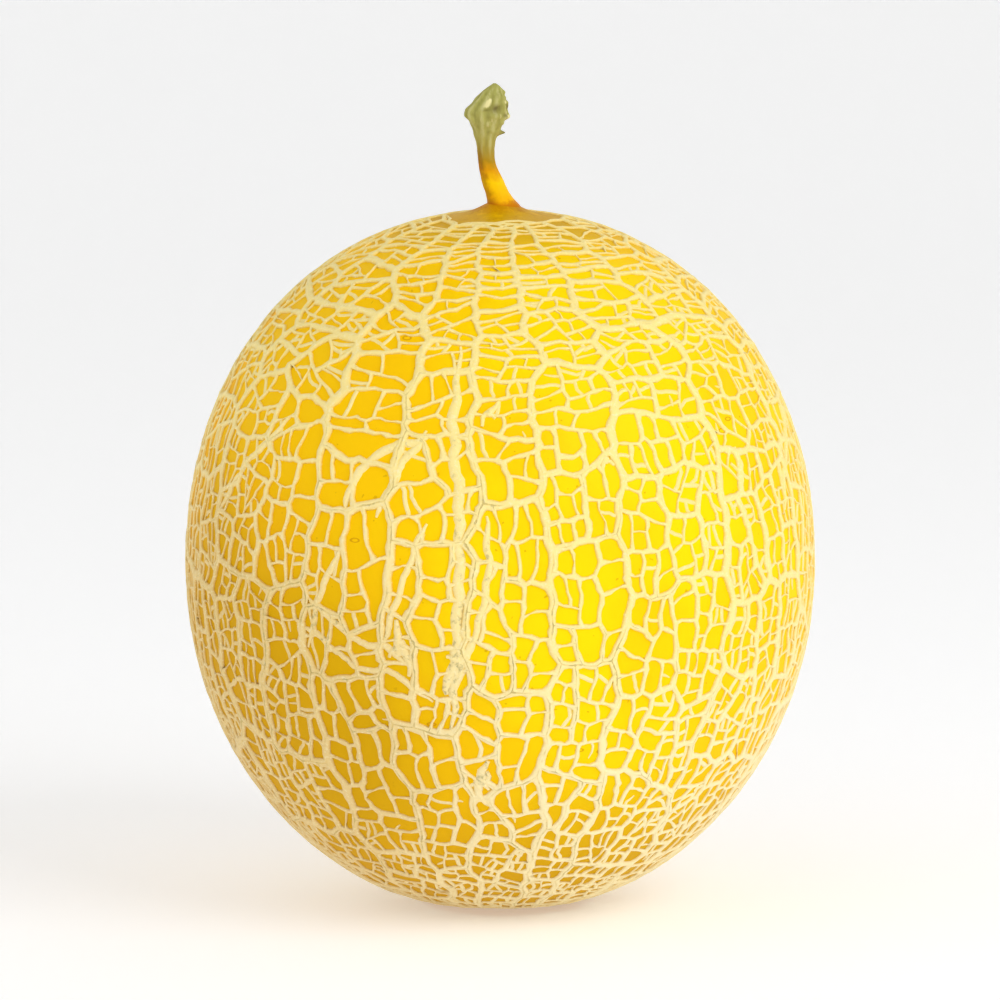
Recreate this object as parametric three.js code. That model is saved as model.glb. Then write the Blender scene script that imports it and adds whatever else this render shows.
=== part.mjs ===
// A whole netted golden melon, stem up, standing on its blossom end.
// Millimetres, +Z up, origin on the floor below the middle of the fruit.
// Three pieces: the fruit, the raised corky net that covers it, and the cut stem.
import * as THREE from "three";
import { mergeVertices } from "three/addons/utils/BufferGeometryUtils.js";

// ---------------------------------------------------------------- driving dimensions
const MELON_RADIUS = 75;          // half the width, measured over the net's crests
const MELON_HALF_HEIGHT = 84;     // from the middle to the top, over the net's crests
const TOP_FULLNESS = 2.1;         // 2 is an ellipse, more is a fuller shoulder
const BOTTOM_FULLNESS = 2.03;
const REST_RADIUS = 12;           // the small flat resting spot at the blossom end

const NET_CREST = 1.4;            // the widest ridge's crest above the skin
const NET_LOW_CREST = 1.05;       // the thinnest ridge's crest above the skin
const NET_GAP = 0.45;             // the net's underside above the skin
const NET_FLOOR = 0.06;           // the net keeps this far above the floor
const RIDGE_SCALE = 1.45;         // the net is drawn a little larger than life

const COLLAR_RISE = 4.2;          // the skin swells up to the stem by this much
const COLLAR_REACH = 5.5;         // and over about this radius
const STEM_SEAT_RADIUS = 3.9;
const STEM_GAP = 0.3;             // between the stem and its seat

const FRUIT_SEGMENTS = 52;        // round the fruit
const FRUIT_RINGS = 26;           // from the resting spot to the collar
const COLLAR_RINGS = [15, 11.5, 9, 7.5, 6.4, 5.5, 4.7, STEM_SEAT_RADIUS];   // their radii
const STEM_SEGMENTS = 18;

// The stem at each height above its seat: how far its middle leans to +X, half its width
// and half its depth. It bends to the left, then opens into a flattened, cut wedge.
const STEM_STATIONS = [
  { up: 0, lean: 0.3, width: 3.7, depth: 3.7 },
  { up: 2, lean: -0.4, width: 3.3, depth: 3.2 },
  { up: 6, lean: -2.1, width: 2.7, depth: 2.6 },
  { up: 9, lean: -3.0, width: 2.3, depth: 2.3 },
  { up: 12.5, lean: -3.5, width: 2.15, depth: 2.2 },
  { up: 15, lean: -3.4, width: 2.6, depth: 2.4 },
  { up: 18, lean: -3.0, width: 4.0, depth: 2.9 },
  { up: 20.5, lean: -3.1, width: 5.1, depth: 3.1 },
  { up: 23, lean: -3.3, width: 4.8, depth: 2.8 },
  { up: 26, lean: -2.2, width: 3.1, depth: 2.0 },
  { up: 29, lean: -1.5, width: 0.9, depth: 0.9 },
];
const STEM_STEP = 1.2;            // height of one ring of the stem
const STEM_RIBS = 5;
const STEM_RIB_DEPTH = 0.1;       // as a share of the stem's width
const STEM_TWIST = 0.05;          // how far the ribs turn for each millimetre of height

// ---------------------------------------------------------------- the skin's shape
const SKIN_RADIUS = MELON_RADIUS - NET_CREST;
const SKIN_HALF_HEIGHT = MELON_HALF_HEIGHT - NET_CREST;
const REST_DROP = SKIN_HALF_HEIGHT
  * (1 - (REST_RADIUS / SKIN_RADIUS) ** BOTTOM_FULLNESS) ** (1 / BOTTOM_FULLNESS);
const CENTRE = new THREE.Vector3(0, 0, REST_DROP);

function fullness(up) {
  return up >= 0 ? TOP_FULLNESS : BOTTOM_FULLNESS;
}

// How far the skin is from the fruit's centre in a direction of length 1.
function skinDistance(direction) {
  const power = fullness(direction.z);
  const side = Math.hypot(direction.x, direction.y) / SKIN_RADIUS;
  const up = Math.abs(direction.z) / SKIN_HALF_HEIGHT;
  return (side ** power + up ** power) ** (-1 / power);
}

// The skin's height above the fruit's centre at a distance from its axis, near the stem.
function collarHeight(side) {
  const dome = SKIN_HALF_HEIGHT * (1 - (side / SKIN_RADIUS) ** TOP_FULLNESS) ** (1 / TOP_FULLNESS);
  return dome + COLLAR_RISE * Math.exp(-((side / COLLAR_REACH) ** 2));
}
const SEAT_HEIGHT = REST_DROP + collarHeight(STEM_SEAT_RADIUS);

// A closed mesh with its doubled seam and pole points merged.
function closedMesh(name, geometry, material) {
  geometry.deleteAttribute("normal");
  geometry.deleteAttribute("uv");
  const closed = mergeVertices(geometry, 1e-4);
  closed.computeVertexNormals();
  const mesh = new THREE.Mesh(closed, material);
  mesh.name = name;
  return mesh;
}

// ---------------------------------------------------------------- fruit
function fruitProfile() {
  const points = [new THREE.Vector2(0, 0), new THREE.Vector2(REST_RADIUS, 0)];
  const lowest = -Math.asin((REST_DROP / SKIN_HALF_HEIGHT) ** (BOTTOM_FULLNESS / 2));
  const topAngle = Math.acos((COLLAR_RINGS[0] / SKIN_RADIUS) ** (TOP_FULLNESS / 2));
  for (let ring = 1; ring < FRUIT_RINGS; ring += 1) {
    const angle = lowest + (topAngle - lowest) * (ring / FRUIT_RINGS);
    const share = 2 / fullness(angle);
    const side = SKIN_RADIUS * Math.cos(angle) ** share;
    const up = Math.sign(angle) * SKIN_HALF_HEIGHT * Math.abs(Math.sin(angle)) ** share;
    points.push(new THREE.Vector2(side, REST_DROP + up));
  }
  for (const side of COLLAR_RINGS) {
    points.push(new THREE.Vector2(side, REST_DROP + collarHeight(side)));
  }
  points.push(new THREE.Vector2(0, SEAT_HEIGHT));
  return points;
}

function makeFruit() {
  const geometry = new THREE.LatheGeometry(fruitProfile(), FRUIT_SEGMENTS);
  geometry.rotateX(Math.PI / 2);
  const skin = new THREE.MeshStandardMaterial({ color: 0xf6bf0c, roughness: 0.38, metalness: 0 });
  return closedMesh("fruit", geometry, skin);
}

// ---------------------------------------------------------------- stem
function stationAt(up) {
  const last = STEM_STATIONS.length - 1;
  let index = 0;
  while (index < last - 1 && STEM_STATIONS[index + 1].up < up) {
    index += 1;
  }
  const from = STEM_STATIONS[index];
  const to = STEM_STATIONS[index + 1];
  const share = THREE.MathUtils.smoothstep(up, from.up, to.up);
  const between = (key) => THREE.MathUtils.lerp(from[key], to[key], share);
  return { lean: between("lean"), width: between("width"), depth: between("depth") };
}

// A lathe of radius 1, whose points are then moved to each height's own lean and section.
function makeStem() {
  const height = STEM_STATIONS[STEM_STATIONS.length - 1].up;
  const rings = Math.round(height / STEM_STEP);
  const profile = [new THREE.Vector2(0, 0)];
  for (let ring = 0; ring <= rings; ring += 1) {
    profile.push(new THREE.Vector2(1, (height * ring) / rings));
  }
  profile.push(new THREE.Vector2(0, height));
  const geometry = new THREE.LatheGeometry(profile, STEM_SEGMENTS);
  geometry.rotateX(Math.PI / 2);
  const position = geometry.getAttribute("position");
  for (let i = 0; i < position.count; i += 1) {
    const up = position.getZ(i);
    const station = stationAt(up);
    const angle = Math.atan2(position.getY(i), position.getX(i));
    const rib = 1 + STEM_RIB_DEPTH * Math.cos(STEM_RIBS * angle + up * STEM_TWIST);
    position.setX(i, station.lean + position.getX(i) * station.width * rib);
    position.setY(i, position.getY(i) * station.depth * rib);
  }
  const bark = new THREE.MeshStandardMaterial({ color: 0xa39a45, roughness: 0.75, metalness: 0 });
  const stem = closedMesh("stem", geometry, bark);
  stem.position.z = SEAT_HEIGHT + STEM_GAP;
  return stem;
}

// ---------------------------------------------------------------- net: how it cracks
// The net follows the way a growing skin cracks. A few long cracks run from stem to
// blossom end. Then each patch of skin between them cracks across its longer way, again
// and again, until the patches are small. Older cracks heal into wider ridges.
// A patch is a loop of points on a sphere round the fruit's centre, counter-clockwise
// from outside, and neighbouring patches share their points.
const NET_SEED = 2027;
const LONG_CRACKS = [
  -168, -131, -97, -64, -38, -21, -6.5, 9, 21, 43, 71, 103, 144,
];                                // longitudes in degrees, 0 faces -Y and 90 faces +X
const LONG_CRACK_ROWS = [
  { latitude: 82, swayLongitude: 8, swayLatitude: 2 },
  { latitude: 56, swayLongitude: 8, swayLatitude: 6 },
  { latitude: 26, swayLongitude: 6, swayLatitude: 8 },
  { latitude: -6, swayLongitude: 5, swayLatitude: 8 },
  { latitude: -38, swayLongitude: 6, swayLatitude: 6 },
  { latitude: -62, swayLongitude: 8, swayLatitude: 4 },
  { latitude: -77, swayLongitude: 8, swayLatitude: 1.5 },
];
const LONG_CRACK_WIDTH = 2.5;
const LONG_CRACK_SPREAD = 0.3;    // how unevenly wide they are, as a share
const END_RING_WIDTH = 1.3;       // round the collar and round the blossom scar
const LEVEL_SHARE = 0.7;          // of a ridge's width, where it runs round the fruit
const PATCH_AREA = 290;           // patches larger than this crack again
const PATCH_SPREAD = 0.8;         // how unevenly the last patches end
const YOUNG_AREA = 130;           // a patch of this area counts as young
const OLD_AREA = 700;             // and one of this area as old
const LOW_STRETCH = { old: 0.5, young: 0.8 };     // on the lower half, and round the middle
const HIGH_STRETCH = { old: 1.5, young: 1.25 };   // on the shoulder
const SHOULDER_START = 0.18;      // the sine of the latitude where the shoulder begins
const SHOULDER_FULL = 0.55;
const THIN_CRACK_AREA = 25;       // a crack in a patch of this area is the thinnest
const LEAST_AREA = 20;
const THIN_CRACK_WIDTH = 0.75;
const WIDTH_GROWTH = 0.36;        // wider by this, each time the patch is e times as large
const WIDTH_SPREAD = 0.6;         // how unevenly wide the cracks are, as a share
const CUT_TRIES = 6;              // the squarest of this many cuts is taken
const CUT_TURN = 0.9;             // how far a cut may turn, in radians
const CUT_SHIFT = 0.9;            // and how far from the middle it may lie
const SHORTEST_PIECE = 1.1;       // of a side beside a cut, in ridge widths
const SHORT_PIECE_COST = 0.8;     // against 1 for meeting a side along its length
const LONGEST_SIDE = 11;          // longer sides get extra points, to follow the curve
const RELAX_PULL = 0.35;
const DRIFT_REACH = 0.009;        // a slow wander of the whole net
const DRIFT_PITCH = 9;
const SECOND_DRIFT = { reach: 0.6, pitch: 2.1 };  // times the first one's

// Where the patches are larger than elsewhere: a place, how much, and how far it spreads.
const OPEN_PLACES = [
  { longitude: -22, latitude: 19, more: 1.3, spread: 0.02 },
  { longitude: -32, latitude: 32, more: 0.8, spread: 0.02 },
  { longitude: 20, latitude: -4, more: 0.5, spread: 0.03 },
  { longitude: -12, latitude: -30, more: 0.3, spread: 0.05 },
];
const PATCH_SHARE = 0.85;         // of PATCH_AREA, away from the open places

function directionAt(longitude, latitude) {
  const east = THREE.MathUtils.degToRad(longitude);
  const up = THREE.MathUtils.degToRad(latitude);
  return new THREE.Vector3(
    Math.sin(east) * Math.cos(up), -Math.cos(east) * Math.cos(up), Math.sin(up));
}
for (const place of OPEN_PLACES) {
  place.at = directionAt(place.longitude, place.latitude);
}

// A repeatable stream of numbers between 0 and 1, by Lehmer's rule.
const LEHMER_FACTOR = 16807;
const LEHMER_PRIME = 2147483647;
function makeDraw(seed) {
  let state = seed;
  return () => {
    state = (state * LEHMER_FACTOR) % LEHMER_PRIME;
    return state / LEHMER_PRIME;
  };
}

function smooth(low, high, value) {
  return THREE.MathUtils.smoothstep(value, low, high);
}

function patchLimit(centre) {
  let share = PATCH_SHARE;
  for (const place of OPEN_PLACES) {
    share += place.more * Math.exp(-(1 - centre.dot(place.at)) / place.spread);
  }
  return PATCH_AREA * share;
}

// Below 1, a patch counts as wider than it is, so it cracks along a meridian.
function stretchOf(centre, area) {
  const age = smooth(YOUNG_AREA, OLD_AREA, area);
  const upper = smooth(SHOULDER_START, SHOULDER_FULL, centre.z);
  const whenOld = THREE.MathUtils.lerp(LOW_STRETCH.old, HIGH_STRETCH.old, upper);
  const whenYoung = THREE.MathUtils.lerp(LOW_STRETCH.young, HIGH_STRETCH.young, upper);
  return THREE.MathUtils.lerp(whenYoung, whenOld, age);
}

// A factor near 1, from a number between 0 and 1.
function spreadAround(spread, chance) {
  return 1 - spread / 2 + spread * chance;
}

function crackWidth(area, chance) {
  const growth = WIDTH_GROWTH * Math.log(Math.max(area, LEAST_AREA) / THIN_CRACK_AREA);
  return (THIN_CRACK_WIDTH + growth) * spreadAround(WIDTH_SPREAD, chance);
}

// Axes on the skin at a direction: east, and north.
function axesAt(centre) {
  const east = new THREE.Vector3(0, 0, 1).cross(centre).normalize();
  return { east, north: centre.clone().cross(east) };
}

class CrackNet {
  constructor(draw) {
    this.draw = draw;
    this.points = [];
    this.patches = [];
    this.owner = new Map();       // "i,j" going round a patch: the patch's index
    this.width = new Map();       // "i,j" with i < j: the ridge's width
  }

  sideKey(i, j) {
    return i < j ? `${i},${j}` : `${j},${i}`;
  }

  setPatch(index, loop) {
    this.patches[index] = { loop, taste: this.draw(), whole: false };
    loop.forEach((i, k) => this.owner.set(`${i},${loop[(k + 1) % loop.length]}`, index));
  }

  // The long cracks, and a ring at each end of them.
  startLongCracks() {
    const columns = LONG_CRACKS.map((longitude) => LONG_CRACK_ROWS.map((row) => {
      const turn = (this.draw() - 0.5) * row.swayLongitude;
      const climb = (this.draw() - 0.5) * row.swayLatitude;
      return this.points.push(directionAt(longitude + turn, row.latitude + climb)) - 1;
    }));
    const last = LONG_CRACK_ROWS.length - 1;
    columns.forEach((left, m) => {
      const right = columns[(m + 1) % columns.length];
      this.setPatch(this.patches.length, [...left, ...[...right].reverse()]);
      for (let k = 0; k < last; k += 1) {
        const width = LONG_CRACK_WIDTH * spreadAround(LONG_CRACK_SPREAD, this.draw());
        this.width.set(this.sideKey(left[k], left[k + 1]), width);
      }
      this.width.set(this.sideKey(left[0], right[0]), END_RING_WIDTH);
      this.width.set(this.sideKey(left[last], right[last]), END_RING_WIDTH);
    });
    for (const loop of [columns.map((c) => c[0]), columns.map((c) => c[last]).reverse()]) {
      const index = this.patches.length;
      this.setPatch(index, loop);
      this.patches[index].whole = true;
    }
  }

  centreOf(loop) {
    const centre = new THREE.Vector3();
    loop.forEach((i, k) => {
      const a = this.points[i];
      const b = this.points[loop[(k + 1) % loop.length]];
      const length = a.distanceTo(b);
      centre.addScaledVector(a, length).addScaledVector(b, length);
    });
    return centre.normalize();
  }

  // A patch laid flat on the skin's tangent plane, in millimetres.
  flatten(loop, centre) {
    const { east, north } = axesAt(centre);
    const distance = skinDistance(centre);
    return loop.map((i) => {
      const point = this.points[i];
      const scale = distance / point.dot(centre);
      return new THREE.Vector2(point.dot(east) * scale, point.dot(north) * scale);
    });
  }

  // Puts a new point on the side i-j, at a share of its length, in both its patches.
  splitSide(i, j, share) {
    const middle = this.points[i].clone().lerp(this.points[j], share).normalize();
    const k = this.points.push(middle) - 1;
    const width = this.width.get(this.sideKey(i, j));
    this.width.delete(this.sideKey(i, j));
    this.width.set(this.sideKey(i, k), width);
    this.width.set(this.sideKey(k, j), width);
    for (const [a, b] of [[i, j], [j, i]]) {
      const index = this.owner.get(`${a},${b}`);
      const { loop } = this.patches[index];
      loop.splice(loop.indexOf(a) + 1, 0, k);
      this.owner.delete(`${a},${b}`);
      this.owner.set(`${a},${k}`, index);
      this.owner.set(`${k},${b}`, index);
    }
    return k;
  }

  // The way a patch is longest, from the spread of its sides, and half its length.
  leanOf(flat, stretch) {
    let xx = 0;
    let xy = 0;
    let yy = 0;
    let total = 0;
    flat.forEach((a, k) => {
      const b = flat[(k + 1) % flat.length];
      const length = a.distanceTo(b);
      const x = (a.x + b.x) / 2;
      const y = ((a.y + b.y) / 2) * stretch;
      xx += length * x * x;
      xy += length * x * y;
      yy += length * y * y;
      total += length;
    });
    return { lean: 0.5 * Math.atan2(2 * xy, xx - yy), half: Math.sqrt(Math.max(xx, yy) / total) };
  }

  // Of a few cuts across the patch, the one that meets its two sides most squarely.
  bestCut(loop, flat, stretch, width) {
    const { lean, half } = this.leanOf(flat, stretch);
    const count = flat.length;
    let best = null;
    for (let attempt = 0; attempt < CUT_TRIES; attempt += 1) {
      const turn = lean + Math.PI / 2 + (this.draw() - 0.5) * CUT_TURN;
      const shift = (this.draw() - 0.5) * CUT_SHIFT * half;
      const px = Math.cos(lean) * shift;
      const py = (Math.sin(lean) * shift) / stretch;
      const way = new THREE.Vector2(Math.cos(turn), Math.sin(turn) / stretch).normalize();
      const side = flat.map((p) => (p.x - px) * way.y - (p.y - py) * way.x);
      const hits = [...flat.keys()].filter((k) => side[k] < 0 !== side[(k + 1) % count] < 0);
      if (hits.length !== 2) continue;
      let cost = 0;
      const ends = hits.map((k) => {
        const next = (k + 1) % count;
        const share = side[k] / (side[k] - side[next]);
        const length = flat[k].distanceTo(flat[next]);
        const piece = SHORTEST_PIECE * width;
        const clear = (Math.min(share, 1 - share) * length) / piece;
        const along = (flat[next].x - flat[k].x) * way.x + (flat[next].y - flat[k].y) * way.y;
        cost += Math.abs(along) / length + SHORT_PIECE_COST * Math.max(0, 1 - clear);
        const room = Math.min(0.5, piece / length);
        return { i: loop[k], j: loop[next], share: Math.min(Math.max(share, room), 1 - room) };
      });
      if (!best || cost < best.cost) best = { cost, ends };
    }
    return best;
  }

  cut(index, flat, stretch, width) {
    const best = this.bestCut(this.patches[index].loop, flat, stretch, width);
    if (!best) return false;
    const [first, second] = best.ends.map((end) => this.splitSide(end.i, end.j, end.share));
    const { loop } = this.patches[index];
    const [a, b] = [loop.indexOf(first), loop.indexOf(second)].sort((x, y) => x - y);
    const near = loop.slice(a, b + 1);
    const far = [...loop.slice(b), ...loop.slice(0, a + 1)];
    this.width.set(this.sideKey(first, second), width);
    this.setPatch(index, near);
    this.setPatch(this.patches.length, far);
    return true;
  }

  crackOn() {
    let index = 0;
    while (index < this.patches.length) {
      const patch = this.patches[index];
      let cracked = false;
      if (!patch.whole) {
        const centre = this.centreOf(patch.loop);
        const flat = this.flatten(patch.loop, centre);
        const area = Math.abs(THREE.ShapeUtils.area(flat));
        const limit = patchLimit(centre) * spreadAround(PATCH_SPREAD, patch.taste);
        if (area >= limit) {
          const width = crackWidth(area, this.draw());
          cracked = this.cut(index, flat, stretchOf(centre, area), width);
        }
      }
      if (!cracked) index += 1;
    }
  }

  // Each point is pulled towards its neighbours, more by wide ridges, so that these
  // run on smoothly past the cracks that meet them.
  relax() {
    const pull = this.points.map(() => new THREE.Vector3());
    for (const [key, width] of this.width) {
      const [i, j] = key.split(",").map(Number);
      pull[i].addScaledVector(this.points[j], width * width);
      pull[j].addScaledVector(this.points[i], width * width);
    }
    this.points = this.points.map((p, i) => p.clone().lerp(pull[i].normalize(), RELAX_PULL).normalize());
  }

  wander() {
    const secondPitch = SECOND_DRIFT.pitch * DRIFT_PITCH;
    const wave = (a, b) => DRIFT_REACH * (Math.sin(DRIFT_PITCH * a.at + a.phase)
      + SECOND_DRIFT.reach * Math.sin(secondPitch * b.at + b.phase));
    this.points = this.points.map(({ x, y, z }) => new THREE.Vector3(
      x + wave({ at: y, phase: 1.3 }, { at: z, phase: 0.4 }),
      y + wave({ at: z, phase: 2.9 }, { at: x, phase: 5.1 }),
      z + wave({ at: x, phase: 4.2 }, { at: y, phase: 3.3 })).normalize());
  }

  // A ridge is widest where it runs along a meridian.
  ridgeWidth(i, j) {
    const along = this.points[j].clone().sub(this.points[i]).normalize();
    const upright = Math.abs(along.dot(axesAt(this.points[i]).north));
    return this.width.get(this.sideKey(i, j)) * THREE.MathUtils.lerp(LEVEL_SHARE, 1, upright);
  }

  splitLongSides() {
    for (const key of [...this.width.keys()]) {
      const [i, j] = key.split(",").map(Number);
      const length = this.points[i].distanceTo(this.points[j]) * SKIN_RADIUS;
      const pieces = Math.ceil(length / LONGEST_SIDE);
      let from = i;
      for (let k = 1; k < pieces; k += 1) {
        from = this.splitSide(from, j, 1 / (pieces + 1 - k));
      }
    }
  }
}

// ---------------------------------------------------------------- net: the ridges
// Each ridge is a tent on the skin: two feet, one along each patch, and a crest along the
// crack between them. Its flat underside joins the feet.

const ROOM_SHARE = 0.6;           // of the way to a patch's middle, that a foot may take
const STRAIGHT_CORNER = 0.25;     // the sine of the turn below which a corner is straight
const SQUEEZE_STEP = 0.85;        // where feet would cross, they are drawn in less
const LEAST_SQUEEZE = 0.15;
const SMALL_PATCH_SHARE = 0.5;    // of its own size, for a patch that has no room at all

// The patch's outline, drawn in on each side by half of that side's ridge.
function drawIn(flat, halves) {
  const count = flat.length;
  const lineOf = (k, squeeze) => {
    const [a, b] = [flat[k], flat[(k + 1) % count]];
    const inward = new THREE.Vector2(a.y - b.y, b.x - a.x).normalize();
    const room = -inward.dot(a);
    const by = Math.min(halves[k] * squeeze, ROOM_SHARE * Math.max(room, 0));
    return { inward, by, at: inward.dot(a) + by };
  };
  for (let squeeze = 1; squeeze > LEAST_SQUEEZE; squeeze *= SQUEEZE_STEP) {
    const lines = flat.map((_, k) => lineOf(k, squeeze));
    const drawn = flat.map((point, k) => {
      const [a, b] = [lines[(k + count - 1) % count], lines[k]];
      const cross = a.inward.cross(b.inward);
      if (Math.abs(cross) < STRAIGHT_CORNER) {
        const middle = a.inward.clone().add(b.inward).normalize();
        return point.clone().addScaledVector(middle, (a.by + b.by) / 2);
      }
      return new THREE.Vector2(
        (a.at * b.inward.y - b.at * a.inward.y) / cross,
        (a.inward.x * b.at - b.inward.x * a.at) / cross);
    });
    const forward = drawn.every((point, k) => {
      const next = (k + 1) % count;
      return drawn[next].clone().sub(point).dot(flat[next].clone().sub(flat[k])) > 0;
    });
    if (forward) return drawn;
  }
  return flat.map((point) => point.clone().multiplyScalar(SMALL_PATCH_SHARE));
}

// A point above the skin in a direction, kept clear of the floor.
function above(direction, rise) {
  const point = direction.clone().multiplyScalar(skinDistance(direction) + rise).add(CENTRE);
  point.z = Math.max(point.z, NET_FLOOR);
  return point;
}

function ridgeMesh(net) {
  const vertices = [];
  const faces = [];
  const place = (point) => vertices.push(point) - 1;

  const widest = new Array(net.points.length).fill(0);
  for (const key of net.width.keys()) {
    const [i, j] = key.split(",").map(Number);
    for (const end of [i, j]) {
      widest[end] = Math.max(widest[end], net.ridgeWidth(i, j));
    }
  }
  const crest = net.points.map((point, i) => {
    const share = Math.min(widest[i] / LONG_CRACK_WIDTH, 1);
    return place(above(point, THREE.MathUtils.lerp(NET_LOW_CREST, NET_CREST, share)));
  });

  const foot = new Map();         // "patch,point": the vertex at that corner of the patch
  net.patches.forEach(({ loop }, index) => {
    const centre = net.centreOf(loop);
    const { east, north } = axesAt(centre);
    const distance = skinDistance(centre);
    const halves = loop.map((i, k) => {
      const width = net.ridgeWidth(i, loop[(k + 1) % loop.length]);
      return (width * RIDGE_SCALE) / 2;
    });
    drawIn(net.flatten(loop, centre), halves).forEach((point, k) => {
      const direction = centre.clone().multiplyScalar(distance)
        .addScaledVector(east, point.x).addScaledVector(north, point.y).normalize();
      foot.set(`${index},${loop[k]}`, place(above(direction, NET_GAP)));
    });
  });
  const footOf = (index, i) => foot.get(`${index},${i}`);

  net.patches.forEach(({ loop }, index) => {
    loop.forEach((i, k) => {
      const j = loop[(k + 1) % loop.length];
      faces.push([crest[i], crest[j], footOf(index, j)], [crest[i], footOf(index, j), footOf(index, i)]);
      if (i < j) {
        const across = net.owner.get(`${j},${i}`);
        const under = [footOf(index, i), footOf(index, j), footOf(across, j), footOf(across, i)];
        faces.push([under[0], under[1], under[2]], [under[0], under[2], under[3]]);
      }
    });
  });

  // Where three ridges meet, their undersides join in one triangle, turned to the skin.
  const done = new Set();
  net.patches.forEach(({ loop }, index) => {
    loop.forEach((i) => {
      if (done.has(i)) return;
      done.add(i);
      const round = [];
      let patch = index;
      do {
        round.push(footOf(patch, i));
        const corners = net.patches[patch].loop;
        const next = corners[(corners.indexOf(i) + 1) % corners.length];
        patch = net.owner.get(`${next},${i}`);
      } while (patch !== index);
      for (let k = 2; k < round.length; k += 1) {
        faces.push([round[0], round[k - 1], round[k]]);
      }
    });
  });

  const geometry = new THREE.BufferGeometry();
  const flat = vertices.flatMap((v) => [v.x, v.y, v.z]);
  geometry.setAttribute("position", new THREE.Float32BufferAttribute(flat, 3));
  geometry.setIndex(faces.flat());
  return geometry;
}

function makeNet() {
  const net = new CrackNet(makeDraw(NET_SEED));
  net.startLongCracks();
  net.crackOn();
  net.relax();
  net.wander();
  net.splitLongSides();
  const geometry = ridgeMesh(net);
  geometry.computeVertexNormals();
  const cork = new THREE.MeshStandardMaterial({ color: 0xf2dca6, roughness: 0.8, metalness: 0 });
  const mesh = new THREE.Mesh(geometry, cork);
  mesh.name = "net";
  return mesh;
}

const melon = new THREE.Group();
melon.add(makeFruit(), makeNet(), makeStem());

export default melon;
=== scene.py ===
# %% [markdown]
# # A netted golden melon
#
# One whole melon stands on its blossom end, stem up, on a pale studio floor. Its smooth golden
# skin is covered by a raised net of cream cork. The net is what makes the fruit: it is where the
# skin cracked while it grew, and healed. So this lesson grows the cracks by a rule, and then
# builds ridges along them, finer than a solid model could hold.
#
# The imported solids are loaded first. They fix the size and the place of everything below.

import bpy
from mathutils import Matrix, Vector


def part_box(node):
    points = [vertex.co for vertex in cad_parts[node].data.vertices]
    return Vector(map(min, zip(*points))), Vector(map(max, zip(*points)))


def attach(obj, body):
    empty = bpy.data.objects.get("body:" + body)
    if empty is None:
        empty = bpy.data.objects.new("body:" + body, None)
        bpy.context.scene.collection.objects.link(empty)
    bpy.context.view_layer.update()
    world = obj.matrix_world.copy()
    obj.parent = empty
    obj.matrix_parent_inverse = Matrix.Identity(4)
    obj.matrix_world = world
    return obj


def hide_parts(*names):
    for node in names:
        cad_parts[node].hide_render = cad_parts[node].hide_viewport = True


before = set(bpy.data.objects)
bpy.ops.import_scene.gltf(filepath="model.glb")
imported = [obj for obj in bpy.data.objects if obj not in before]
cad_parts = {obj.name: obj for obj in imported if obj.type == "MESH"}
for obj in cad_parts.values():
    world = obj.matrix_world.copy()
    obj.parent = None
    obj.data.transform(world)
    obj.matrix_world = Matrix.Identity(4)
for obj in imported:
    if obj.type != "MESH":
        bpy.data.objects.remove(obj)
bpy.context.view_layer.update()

# %% Imports and the solids' sizes
import copy
import math

import bpy
import numpy as np
from mathutils import Vector

MM = 0.001                        # lengths below are in millimetres, meshes are in metres

fruit_low, fruit_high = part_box("fruit")
stem_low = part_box("stem")[0]

# %% [markdown]
# ## Node trees as expressions
#
# Both geometry and colours below follow formulas, and a formula is easier to read as one line
# than as a picture of nodes. A `Wire` is a node's output. Adding or multiplying two of them
# makes the maths node that does it. `Tree.node` makes every other kind of node. A material and
# a geometry tree are both trees of this kind, so they share it.

# %% Wires
class Wire:
    """A node's output, for use in Python expressions."""

    def __init__(self, tree, socket):
        self.tree = tree
        self.socket = socket

    def apply(self, operation, *others):
        """A maths node, by its operation's name."""
        return self.tree.math(operation, self, *others)

    def __neg__(self):
        return self.apply("MULTIPLY", -1)

    def __abs__(self):
        return self.apply("ABSOLUTE")

    def __gt__(self, other):
        return self.apply("GREATER_THAN", other)

    def rise(self, low, high):
        """0 below low, 1 above high, and an even S between them."""
        return self.tree.wire(
            "ShaderNodeMapRange", {"interpolation_type": "SMOOTHSTEP"},
            {"Value": self, "From Min": low, "From Max": high})


def add_operator(sign, operation):
    """Gives Wire an operator, and its reflected form for a number on the left."""
    setattr(Wire, f"__{sign}__", lambda wire, other: wire.tree.math(operation, wire, other))
    setattr(Wire, f"__r{sign}__", lambda wire, other: wire.tree.math(operation, other, wire))


for sign, operation in (("add", "ADD"), ("sub", "SUBTRACT"), ("mul", "MULTIPLY"),
                        ("truediv", "DIVIDE"), ("pow", "POWER")):
    add_operator(sign, operation)


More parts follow.
